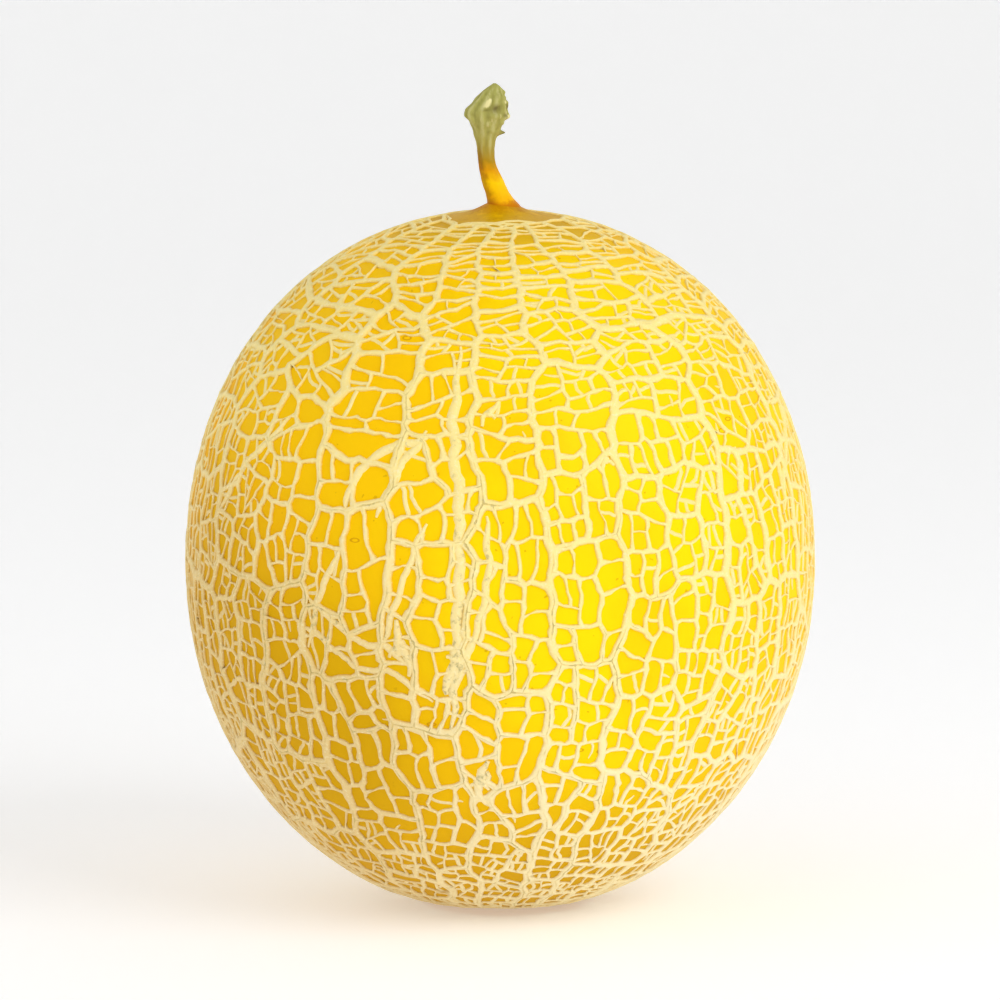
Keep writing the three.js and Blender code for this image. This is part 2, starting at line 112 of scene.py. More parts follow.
# %% Trees
class Tree:
    """A node tree whose nodes are all made here."""

    def __init__(self, tree):
        self.tree = tree

    def node(self, kind, settings=None, inputs=None):
        made = self.tree.nodes.new(kind)
        for name, value in (settings or {}).items():
            if name == "stops":
                self.set_stops(made.color_ramp, value)
            else:
                setattr(made, name, value)
        for name, value in (inputs or {}).items():
            if isinstance(value, Wire):
                self.tree.links.new(value.socket, made.inputs[name])
            else:
                made.inputs[name].default_value = value
        return made

    def set_stops(self, ramp, stops):
        while len(ramp.elements) < len(stops):
            ramp.elements.new(1)
        for element, (at, colour) in zip(ramp.elements, stops):
            element.position = at
            element.color = colour

    def wire(self, kind, settings=None, inputs=None, output=0):
        return Wire(self, self.node(kind, settings, inputs).outputs[output])

    def math(self, operation, *values):
        return self.wire("ShaderNodeMath", {"operation": operation}, dict(enumerate(values)))

    def vector(self, operation, *values, output=0):
        return self.wire(
            "ShaderNodeVectorMath", {"operation": operation}, dict(enumerate(values)), output)

    def split(self, vector):
        parts = self.node("ShaderNodeSeparateXYZ", inputs={0: vector}).outputs
        return [Wire(self, part) for part in parts]

    def join(self, x, y, z):
        return self.wire("ShaderNodeCombineXYZ", inputs={0: x, 1: y, 2: z})

    def mix(self, share, low, high):
        """From one colour to another."""
        mixer = self.node("ShaderNodeMix", {"data_type": "RGBA"}, {0: share, 6: low, 7: high})
        return Wire(self, mixer.outputs[2])


# %% Materials
NOISES = {                        # blotches in a millimetre, detail, roughness
    "broad": (0.022, 3.0, 0.5), "small": (0.16, 3.0, 0.6), "mottled": (0.42, 4.0, 0.7),
    "freckles": (0.62, 1.0, 0.5), "pores": (0.9, 4.0, 0.6), "patchy": (0.09, 3.0, 0.6),
    "wiggle": (0.55, 3.0, 0.6), "grain": (1.5, 5.0, 0.65), "blotches": (0.5, 3.0, 0.6),
    "streaks": (1.3, 4.0, 0.6)}


class Shader(Tree):
    """A material with one glossy surface, whose place is known in millimetres."""

    def __init__(self, name):
        self.material = bpy.data.materials.new(name)
        self.material.use_nodes = True
        super().__init__(self.material.node_tree)
        self.surface = self.tree.nodes["Principled BSDF"]
        place = self.wire("ShaderNodeTexCoord", output="Object")
        self.place = self.vector("SCALE", place)
        self.place.socket.node.inputs["Scale"].default_value = 1 / MM

    def noise(self, name, place=None):
        scale, detail, roughness = NOISES[name]
        return self.wire("ShaderNodeTexNoise", inputs={
            "Vector": place or self.place, "Scale": scale, "Detail": detail,
            "Roughness": roughness})

    def attribute(self, name):
        return self.wire("ShaderNodeAttribute", {"attribute_name": name}, output="Fac")

    def bump(self, height, strength, distance):
        """Fine relief; its depth is in millimetres."""
        return self.wire("ShaderNodeBump", inputs={
            "Height": height, "Strength": strength, "Distance": distance * MM})

    def finish(self, **inputs):
        """Feeds the surface's sockets: underscores stand for the spaces in their names."""
        for name, value in inputs.items():
            socket = self.surface.inputs[name.replace("_", " ")]
            if isinstance(value, Wire):
                self.tree.links.new(value.socket, socket)
            else:
                socket.default_value = value
        print("material:", self.material.name, len(self.tree.nodes), "nodes")
        return self.material


# %% Meshes that are grown by a tree
class Growth(Tree):
    """A geometry tree with named inputs."""

    def __init__(self, name, inputs):
        group = bpy.data.node_groups.new(name, "GeometryNodeTree")
        super().__init__(group)
        self.inputs = inputs
        group.interface.new_socket("Geometry", in_out="INPUT", socket_type="NodeSocketGeometry")
        for label, kind, _ in inputs:
            group.interface.new_socket(label, in_out="INPUT", socket_type="NodeSocket" + kind)
        group.interface.new_socket("Geometry", in_out="OUTPUT", socket_type="NodeSocketGeometry")
        self.given = self.node("NodeGroupInput")

    def input(self, label):
        return Wire(self, self.given.outputs[label])

    def end(self, geometry):
        """Realizes the result and gives it its material."""
        real = self.wire("GeometryNodeRealizeInstances", inputs={0: geometry})
        done = self.wire("GeometryNodeSetMaterial", inputs={
            "Geometry": real, "Material": self.input("Material")})
        self.node("NodeGroupOutput", inputs={0: done})

    def grow(self, name, mesh):
        """A plain mesh object: the tree's result on a starting mesh."""
        piece = put(name, mesh)
        modifier = piece.modifiers.new("growth", "NODES")
        modifier.node_group = self.tree
        values = {label: value for label, _, value in self.inputs}
        for item in self.tree.interface.items_tree:
            if item.in_out == "INPUT" and item.name in values:
                modifier[item.identifier] = values[item.name]
        graph = bpy.context.evaluated_depsgraph_get()
        grown = bpy.data.meshes.new_from_object(
            piece.evaluated_get(graph), preserve_all_data_layers=True, depsgraph=graph)
        piece.modifiers.remove(modifier)
        piece.data = grown
        grown.name = name
        print(name + ":", triangles_of(grown), "triangles")
        return piece


# %% Small helpers
def put(name, data):
    """A new object in the scene."""
    thing = bpy.data.objects.new(name, data)
    bpy.context.collection.objects.link(thing)
    return thing


def number_attribute(mesh, name, values):
    attribute = mesh.attributes.new(name, "FLOAT", "POINT")
    attribute.data.foreach_set("value", np.asarray(values, np.float32))


def triangles_of(mesh):
    return sum(len(face.vertices) - 2 for face in mesh.polygons)


def paint(red, green, blue):
    """A colour as a painter would read it off a chart, 0 to 255, made linear."""
    linear = []
    for value in (red, green, blue):
        share = value / 255
        linear.append(share / 12.92 if share < 0.04045 else ((share + 0.055) / 1.055) ** 2.4)
    return (*linear, 1.0)

# %% [markdown]
# ## The skin's shape as a formula
#
# A melon is nearly an ellipsoid. A power a little above 2 makes its shoulders fuller, and the
# same few numbers give the distance from the fruit's centre to its skin in any direction. Every
# piece below asks this one function where the skin is, so that ridges, threads and scars all
# sit on it. The solids' net stands taller than life, so here the skin lies a little further out
# and the ridges are lower, with their crests at the same height.

# %% Skin
SOLID_SKIN_RADIUS = (fruit_high.x - fruit_low.x) / 2 / MM
SKIN_RADIUS = 73.6                # the solid skin: half its width
SKIN_HALF_HEIGHT = 82.6           # and half its height, without the resting spot
TOP_FULLNESS = 2.1
BOTTOM_FULLNESS = 2.03
REST_RADIUS = 12                  # the flat spot that the fruit stands on
REST_DROP = SKIN_HALF_HEIGHT * (
    1 - (REST_RADIUS / SKIN_RADIUS) ** BOTTOM_FULLNESS) ** (1 / BOTTOM_FULLNESS)
SKIN_LIFT = 0.65                  # this skin lies further out than the solid one
LIFT_EDGE = (-0.995, -0.93)       # but not at the resting spot: where the lift sets in
COLLAR_RISE = 3.0                 # it swells up to the stem
COLLAR_REACH = 5.6
NET_FLOOR = 0.02                  # the net stays above the floor


def smooth(low, high, value):
    """0 below low, 1 above high, and an even S between them."""
    share = np.clip((value - low) / (high - low), 0, 1)
    return share * share * (3 - 2 * share)


def skin_distance(direction):
    """How far the skin is from the fruit's centre, for directions of length 1."""
    direction = np.asarray(direction, float)
    side = np.hypot(direction[..., 0], direction[..., 1]) / SKIN_RADIUS
    up = direction[..., 2]
    power = np.where(up >= 0, TOP_FULLNESS, BOTTOM_FULLNESS)
    return (side ** power + (np.abs(up) / SKIN_HALF_HEIGHT) ** power) ** (-1 / power)


def place_on_skin(direction, rise):
    """Points a little above the skin, in metres, kept clear of the floor."""
    lift = SKIN_LIFT * smooth(*LIFT_EDGE, direction[..., 2])
    distance = skin_distance(direction) + lift + rise
    points = direction * distance[..., None] + np.array([0, 0, REST_DROP])
    from_axis = np.hypot(points[..., 0], points[..., 1]) / COLLAR_REACH
    points[..., 2] += COLLAR_RISE * np.exp(-from_axis ** 2) * (direction[..., 2] > 0)
    points[..., 2] = np.maximum(points[..., 2], NET_FLOOR)
    return points * MM


def direction_at(longitude, latitude):
    """Longitude 0 faces the viewer, and 90 is to the right."""
    east = math.radians(longitude)
    up = math.radians(latitude)
    return np.array([
        math.sin(east) * math.cos(up), -math.cos(east) * math.cos(up), math.sin(up)])


print("solid skin radius in the frame and here:", round(SOLID_SKIN_RADIUS, 2), SKIN_RADIUS)

# %% [markdown]
# ## Colours of the skin and the cork
#
# The ripe skin is painted from orange on the shaded side to a clear yellow where the light falls,
# as painted shade and painted light over broad soft patches of its own orange and yellow, and it
# has a waxy gloss. Towards the bottom it is painted darker still, as painted shade. The cork of
# the net is cream and nearly matt. It is painted warmer on the lit side and on top, and paler
# towards the lower end, as painted light, and darker on the side away from the lamp, as painted
# shade. It is browner at the foot of each ridge, partly as painted shade where the ridge meets
# the skin, and its wide ridges are split by fine grey cracks.

# %% Colours and places
SKIN_ORANGE = paint(250, 182, 0)
SKIN_GOLD = paint(255, 203, 0)
SKIN_YELLOW = paint(255, 222, 0)
SKIN_OCHRE = paint(208, 158, 2)
MARK_BROWN = paint(176, 96, 6)
COLLAR_BROWN = paint(196, 126, 0)
CORK_CREAM = paint(254, 232, 163)
CORK_TAN = paint(247, 214, 132)
# The foot of a ridge: partly painted shade where the ridge meets the skin. It also tints the
# groove on a wide crest.
CORK_FOOT = paint(251, 208, 76)
CORK_CRACK = paint(176, 164, 108)
CORK_WHITE = paint(255, 243, 200)
CORK_SHADED = paint(226, 192, 120)  # painted shade, on the side away from the key lamp
# Painted light: a warmer cream on the lit side and on top.
CORK_LIT = paint(254, 232, 138)
CORK_LOW_LIGHT = paint(254, 243, 200)  # painted light from the floor, towards the lower end
LIT_SIDE_SKIN = (34, 18)             # longitude and latitude: painted light makes the skin yellowest round here, on the lit side
# Painted light: the cork is warmest round here, on the lit side.
LIT_SIDE_CORK = (40, 15)
SHADED_SIDE = (-62, -30)            # painted shade makes skin and cork darkest round here
SPLIT_SIDE = (-18, -22)           # and the ridges are most split round here
MARKS = [                         # longitude, latitude, radius of small brown rings
    (49.5, 28.7, 1.6), (52.5, 30.6, 1.2), (-23.5, 47.7, 1.4), (-18.5, 42, 1.3),
    (-27, 11.2, 1.5), (-13, -21.5, 1.3), (20.5, -27.2, 1.9), (15.5, -26.7, 1.3)]
MARK_FLATNESS = 2.3               # they are this much wider than they are tall
MARK_LINE = 0.45                  # half the ring's line
COLLAR_EDGE = (3.5, 8)            # the brown foot of the stem ends between these radii
MOTTLED_EDGE = (5, 19)            # and the mottling round it between these
COLLAR_RAGGED = 5                 # how far the brown's edge strays
WAXY_SHINE = 0.06                 # how strongly the skin and the stem mirror the lamps
CORK_SHINE = 0.3


def fruit_direction(shader):
    """Where a point lies, as a direction from the fruit's centre."""
    centred = shader.vector("ADD", shader.place, (0, 0, -REST_DROP))
    return shader.vector("NORMALIZE", centred)


def toward(shader, direction, place):
    """1 where the skin faces that place, -1 on the far side."""
    there = tuple(float(value) for value in direction_at(*place))
    return shader.vector("DOT_PRODUCT", direction, there, output="Value")


def shaded_side_share(shader, direction, broad):
    """How much painted shade the surface gets, low on the side away from the key lamp."""
    near = (toward(shader, direction, SHADED_SIDE) + broad * 0.5).rise(0.6, 1.2)
    return near * near


# %% The skin's material
# Where a tone sets in and is full, on the value that steers it.
GOLD_FROM = (0.3, 0.66)
YELLOW_FROM = (0.66, 0.98)
OCHRE_ENDS = (0.90, 0.995)        # sines of latitudes, at both ends
OCHRE_LOW_SHADE = (0.4, 0.9)            # and as painted shade at the lower one
DARK_MOTTLES = (0.5, 0.68)
LIGHT_MOTTLES = (0.52, 0.7)
FRECKLES = (0.735, 0.775)


def ring_marks(shader, small):
    """1 on the line of any of the small rings."""
    marks = None
    for longitude, latitude, radius in MARKS:
        there = direction_at(longitude, latitude)
        middle = there * (skin_distance(there) + SKIN_LIFT) + np.array([0, 0, REST_DROP])
        off = shader.vector("SUBTRACT", shader.place, tuple(middle.tolist()))
        off = shader.vector("MULTIPLY", off, (1, 1, MARK_FLATNESS))
        from_middle = shader.vector("LENGTH", off, output="Value") + small * 0.8
        mark = 1 - abs(from_middle - radius).rise(0, MARK_LINE)
        marks = mark if marks is None else marks.apply("MAXIMUM", mark)
    return marks


def skin_material():
    shader = Shader("golden_skin")
    direction = fruit_direction(shader)
    broad = shader.noise("broad")
    small = shader.noise("small")
    # Painted light and real tone: the skin is painted yellower towards the lit side, over broad
    # random patches of its own orange and yellow.
    yellow_share = toward(shader, direction, LIT_SIDE_SKIN) * 0.45 + broad * 0.9 + small * 0.16 - 0.05
    base = shader.mix(yellow_share.rise(*GOLD_FROM), SKIN_ORANGE, SKIN_GOLD)
    base = shader.mix(yellow_share.rise(*YELLOW_FROM), base, SKIN_YELLOW)
    direction_up = shader.split(direction)[2]
    # Ochre at both ends; towards the bottom it is painted shade.
    low_shade = (-direction_up).rise(*OCHRE_LOW_SHADE)
    ends = abs(direction_up).rise(*OCHRE_ENDS).apply("MAXIMUM", low_shade)
    # Painted shade: the skin turns ochre on the side away from the key lamp.
    painted_shade = shaded_side_share(shader, direction, broad)
    base = shader.mix(ends.apply("MAXIMUM", painted_shade) * 0.88, base, SKIN_OCHRE)
    across = shader.vector("MULTIPLY", shader.place, (1, 1, 0))
    from_axis = shader.vector("LENGTH", across, output="Value")
    ragged = from_axis + (small - 0.5) * COLLAR_RAGGED
    foot = (1 - ragged.rise(*COLLAR_EDGE)) * (direction_up > 0)
    base = shader.mix(foot * 0.6, base, COLLAR_BROWN)
    near_foot = 1 - from_axis.rise(*MOTTLED_EDGE)
    mottled = shader.noise("mottled")
    base = shader.mix(mottled.rise(*DARK_MOTTLES) * near_foot * 0.45, base, MARK_BROWN)
    base = shader.mix((1 - mottled).rise(*LIGHT_MOTTLES) * near_foot * 0.4, base, SKIN_GOLD)
    freckles = shader.noise("freckles").rise(*FRECKLES)
    base = shader.mix(freckles * 0.55, base, SKIN_OCHRE)
    base = shader.mix(ring_marks(shader, small) * 0.55, base, MARK_BROWN)
    return shader.finish(
        Base_Color=base, Roughness=small * 0.16 + 0.4, Specular_IOR_Level=WAXY_SHINE,
        Normal=shader.bump(shader.noise("pores"), 0.25, 0.15))


golden_skin = skin_material()


# %% The cork's material
# Again where each tone sets in: the first two on a ridge's profile, from 0 at its foot to 1 at
# its crest, the next on how near the lit side is, and the last two on sines of latitudes. These
# last three place painted light: warmer on the lit side and on top, paler towards the lower end.
TAN_FROM = (0.05, 0.62)
CREST_FROM = (0.5, 1.1)
LIT_SIDE_FROM = (0.4, 1)
LIT_TOP_FROM = (0.1, 0.7)
LOW_LIGHT_FROM = (-0.05, 0.75)
LIGHT_GRAIN = (0.52, 0.66)
DARK_GRAIN = (0.58, 0.7)
SPLIT_LINE = 0.14                 # how wide a split is, on the profile's scale
SPLIT_RIDGES = (1.5, 2.4)         # how wide the ridges are that split
GROOVE_RIDGES = (1.3, 2.0)        # and those with a groove
GROOVE_LINE = (0.86, 1.0)         # where the groove lies on the profile


def cork_material(name, low, high):
    """Cork between two colours, from the foot of a ridge to its crest."""
    shader = Shader(name)
    profile = shader.attribute("profile")
    ridge = shader.attribute("ridge")
    patchy = shader.noise("patchy")
    grain = shader.noise("grain")
    wiggle = shader.noise("wiggle")
    # From the foot colour up the side to tan, then to the crest's colour. On the net, the foot
    # colour is partly painted shade.
    base = shader.mix((profile + (patchy - 0.5) * 0.6).rise(*TAN_FROM), low, CORK_TAN)
    base = shader.mix((profile + patchy * 0.5).rise(*CREST_FROM), base, high)
    direction = fruit_direction(shader)
    direction_up = shader.split(direction)[2]
    # Painted shade: the cork is darker on the side away from the key lamp.
    painted_shade = shaded_side_share(shader, direction, shader.noise("broad"))
    # Painted light: the cork is warmer towards the lit side and on top.
    yellow_share = toward(shader, direction, LIT_SIDE_CORK).rise(*LIT_SIDE_FROM)
    base = shader.mix(yellow_share * 0.6, base, CORK_LIT)
    base = shader.mix(direction_up.rise(*LIT_TOP_FROM) * 0.55, base, CORK_LIT)
    # Painted light from the floor: the cork is paler towards the lower end.
    base = shader.mix((-direction_up).rise(*LOW_LIGHT_FROM) * 0.65, base, CORK_LOW_LIGHT)
    base = shader.mix(painted_shade * 0.75, base, CORK_SHADED)
    # A wide ridge is split by thin lines, and has a yellower groove along its crest.
    near_splits = toward(shader, direction, SPLIT_SIDE)
    split = 1 - abs(profile - 1.04 + (wiggle - 0.5) * 0.8).rise(0, SPLIT_LINE)
    split = split * (ridge + patchy).rise(*SPLIT_RIDGES) * patchy.rise(0.42, 0.6)
    split = split * (near_splits.rise(0.35, 0.9) * 0.8 + 0.2)
    base = shader.mix(grain.rise(*LIGHT_GRAIN) * 0.5, base, CORK_WHITE)
    base = shader.mix((1 - grain).rise(*DARK_GRAIN) * 0.35, base, CORK_TAN)
    base = shader.mix(split * 0.8, base, CORK_CRACK)
    groove = profile.rise(*GROOVE_LINE) * ridge.rise(*GROOVE_RIDGES) * patchy.rise(0.38, 0.55)
    groove = groove * near_splits.rise(0.3, 0.8)
    base = shader.mix(groove * 0.3, base, CORK_FOOT)
    height = grain + wiggle * 0.8 - split * 0.9 - groove * 1.5
    return shader.finish(
        Base_Color=base, Roughness=0.62, Specular_IOR_Level=CORK_SHINE,
        Normal=shader.bump(height, 0.55, 0.22))


cork = cork_material("cork_net", CORK_FOOT, CORK_CREAM)
thin_cork = cork_material("thin_cork", CORK_TAN, CORK_CREAM)

# %% [markdown]
# ## The skin
#
# A lathe or a sculpted ball would both do for the smooth skin. It is one formula, so it is grown
# by a geometry tree from a ball of radius 1: each point is a direction, and the formula sends it
# out to the skin. The rings are drawn together near the stem, where the skin swells into a
# small collar, and the bottom is pressed flat where the fruit rests.

# %% Grow the skin
RING_CROWDING = 0.72              # rings near the stem are this much closer than at the middle

skin_growth = Growth("skin_growth", [
    ("Segments", "Int", 192), ("Rings", "Int", 150), ("Radius", "Float", SKIN_RADIUS),
    ("Half height", "Float", SKIN_HALF_HEIGHT), ("Lift", "Float", SKIN_LIFT),
    ("Collar rise", "Float", COLLAR_RISE), ("Collar reach", "Float", COLLAR_REACH),
    ("Material", "Material", golden_skin)])


def shape_skin(tree):
    ball = tree.wire("GeometryNodeMeshUVSphere", inputs={
        "Segments": tree.input("Segments"), "Rings": tree.input("Rings"), "Radius": 1.0})
    x, y, z = tree.split(tree.wire("GeometryNodeInputPosition"))
    flat = (x * x + y * y) ** 0.5
    angle = z.apply("ARCCOSINE")
    angle = angle - RING_CROWDING * angle.apply("SINE")
    across = angle.apply("SINE")
    up = angle.apply("COSINE")
    out = across / flat.apply("MAXIMUM", 0.000001)
    power = (up > 0) * (TOP_FULLNESS - BOTTOM_FULLNESS) + BOTTOM_FULLNESS
    wide = (across / tree.input("Radius")) ** power
    tall = (abs(up) / tree.input("Half height")) ** power
    distance = (wide + tall) ** (-1 / power) + tree.input("Lift") * up.rise(*LIFT_EDGE)
    from_axis = across * distance / tree.input("Collar reach")
    collar = tree.input("Collar rise") * (-(from_axis * from_axis)).apply("EXPONENT") * (up > 0)
    height = (up * distance + REST_DROP + collar).apply("MAXIMUM", 0)
    place = tree.join(x * out * distance * MM, y * out * distance * MM, height * MM)
    moved = tree.wire("GeometryNodeSetPosition", inputs={"Geometry": ball, "Position": place})
    tree.end(tree.wire("GeometryNodeSetShadeSmooth", inputs={"Geometry": moved}))


shape_skin(skin_growth)
skin = skin_growth.grow("golden_skin", bpy.data.meshes.new("seed"))

# %% [markdown]
# ## Cracks
#
# A growing skin cracks where it is stretched. The first cracks run from the stem to the blossom
# end. Each patch between them then cracks across its longer way, always meeting older cracks at
# about a right angle, until the patches are small. That rule alone gives the ladders, the long
# uprights and the T-shaped joints of a melon's net. The solids stopped at a few hundred patches.
# Here the same draws are made again and go on to a few thousand.

# %% The crack rule's sizes
NET_SEED = 2027
LONG_CRACKS = [-168, -131, -97, -64, -38, -21, -6.5, 9, 21, 43, 71, 103, 144]
LONG_CRACK_ROWS = [               # latitude, then how much longitude and latitude may sway
    (82, 8, 2), (56, 8, 6), (26, 6, 8), (-6, 5, 8), (-38, 6, 6), (-62, 8, 4), (-77, 8, 1.5)]
LONG_CRACK_WIDTH = 2.5
LONG_CRACK_SPREAD = 0.3           # how unevenly wide they are, as a share
END_RING_WIDTH = 1.3              # round the collar and round the blossom end
THIN_CRACK_WIDTH = 0.75
THIN_CRACK_AREA = 25              # a crack in a patch of this area is the thinnest
LEAST_AREA = 20
WIDTH_GROWTH = 0.36               # wider by this, each time the patch is e times as large
WIDTH_SPREAD = 0.6
CUT_TRIES = 6                     # the squarest of this many cuts is taken
CUT_TURN = 0.9                    # how far a cut may turn, in radians
YOUNG_CUT_TURN = 1.3
CUT_SHIFT = 0.9                   # and how far from the middle it may lie
SHORTEST_PIECE = 1.1              # of a side beside a cut, in ridge widths
SHORT_PIECE_COST = 0.8            # against 1 for meeting a side along its length
THINNEST = 0.1
EVEN_WIDTH = 1.2                  # wider ridges are drawn thinner, and thinner ones wider
EVENNESS = 0.8
LEVEL_SHARE = 0.8                 # of a ridge's width, where it runs round the fruit
TOP_LEVEL_SHARE = 1.5             # and the same near the stem
TOP_THINNING = 0.25               # how much thinner a ridge is near the stem
THINNING = 0.4                    # how much thinner young ridges are where they are crowded
YOUNG_AREAS = (100, 148)          # a patch below the first is young, and above the second not

# Where things set in and are full, as sines of latitudes.
SHOULDER = (0.18, 0.55)
HIGH_SHOULDER = (0.4, 0.75)
LOWER_END = (0.5, 0.85)
UPPER_END = (0.45, 0.8)
NEAR_STEM = (0.6, 0.9)
ROUND_STEM = (0.75, 0.97)
FLANKS = (0.45, 0.9)              # and these as sines of longitudes

# How a patch's height counts against its width: on the lower half, and how much more it is
# on the shoulder. Below 1, it counts as wider than it is, so it cracks along a meridian.
OLD_STRETCH = (0.5, 1)
GROWN_STRETCH = (0.8, 0.45)
YOUNG_STRETCH = (0.85, 0.7)
OLD_AREAS = (130, 700)            # between grown and old
GROWN_AREAS = (100, 147)          # and between young and grown

PATCH_SHARE = 0.85                # of the areas given below, away from the open places
OPEN_PLACES = [                   # longitude, latitude, how much larger, how far it spreads
    (-22, 19, 1.3, 0.02), (-32, 32, 0.8, 0.02), (20, -4, 0.5, 0.03), (-12, -30, 0.3, 0.05)]

# %% The crack rule


def patch_share(centre):
    """How large patches are here, against the rest of the fruit."""
    share = PATCH_SHARE
    for longitude, latitude, more, spread in OPEN_PLACES:
        near = centre @ direction_at(longitude, latitude)
        share += more * math.exp(-(1 - near) / spread)
    return share


def stretch_of(centre, area):
    """How a patch's height counts against its width."""
    old = smooth(*OLD_AREAS, area)
    upper = smooth(*SHOULDER, centre[2])
    when_old, when_grown = (low + more * upper for low, more in (OLD_STRETCH, GROWN_STRETCH))
    stretch = when_old * old + when_grown * (1 - old)
    when_young = YOUNG_STRETCH[0] + YOUNG_STRETCH[1] * smooth(*HIGH_SHOULDER, centre[2])
    return stretch + (when_young - stretch) * (1 - smooth(*GROWN_AREAS, area))


def crowding(centre):
    """1 towards both ends and round the flanks, where the net is fine, and 0 in the middle."""
    ends = max(smooth(*LOWER_END, -centre[2]), smooth(*UPPER_END, centre[2]))
    flanks = smooth(*FLANKS, abs(centre[0]) / math.hypot(centre[0], centre[1]))
    return max(ends, flanks)


def spread_around(spread, chance):
    """A factor near 1, from a number between 0 and 1."""
    return 1 - spread / 2 + spread * chance


def crack_width(area, chance, centre):
    """Cracks in larger patches are older and wider; young ones are thin where it is crowded."""
    growth = WIDTH_GROWTH * math.log(max(area, LEAST_AREA) / THIN_CRACK_AREA)
    width = (THIN_CRACK_WIDTH + growth) * spread_around(WIDTH_SPREAD, chance)
    return width * (1 - THINNING * crowding(centre) * (1 - smooth(*YOUNG_AREAS, area)))


# %% The cracking skin
LEHMER_FACTOR = 16807             # Lehmer's rule for a repeatable stream of numbers
LEHMER_PRIME = 2147483647


def side_key(i, j):
    return (i, j) if i < j else (j, i)


def sides_of(loop):
    """Each point of a loop with the next one round."""
    return zip(loop, loop[1:] + loop[:1])


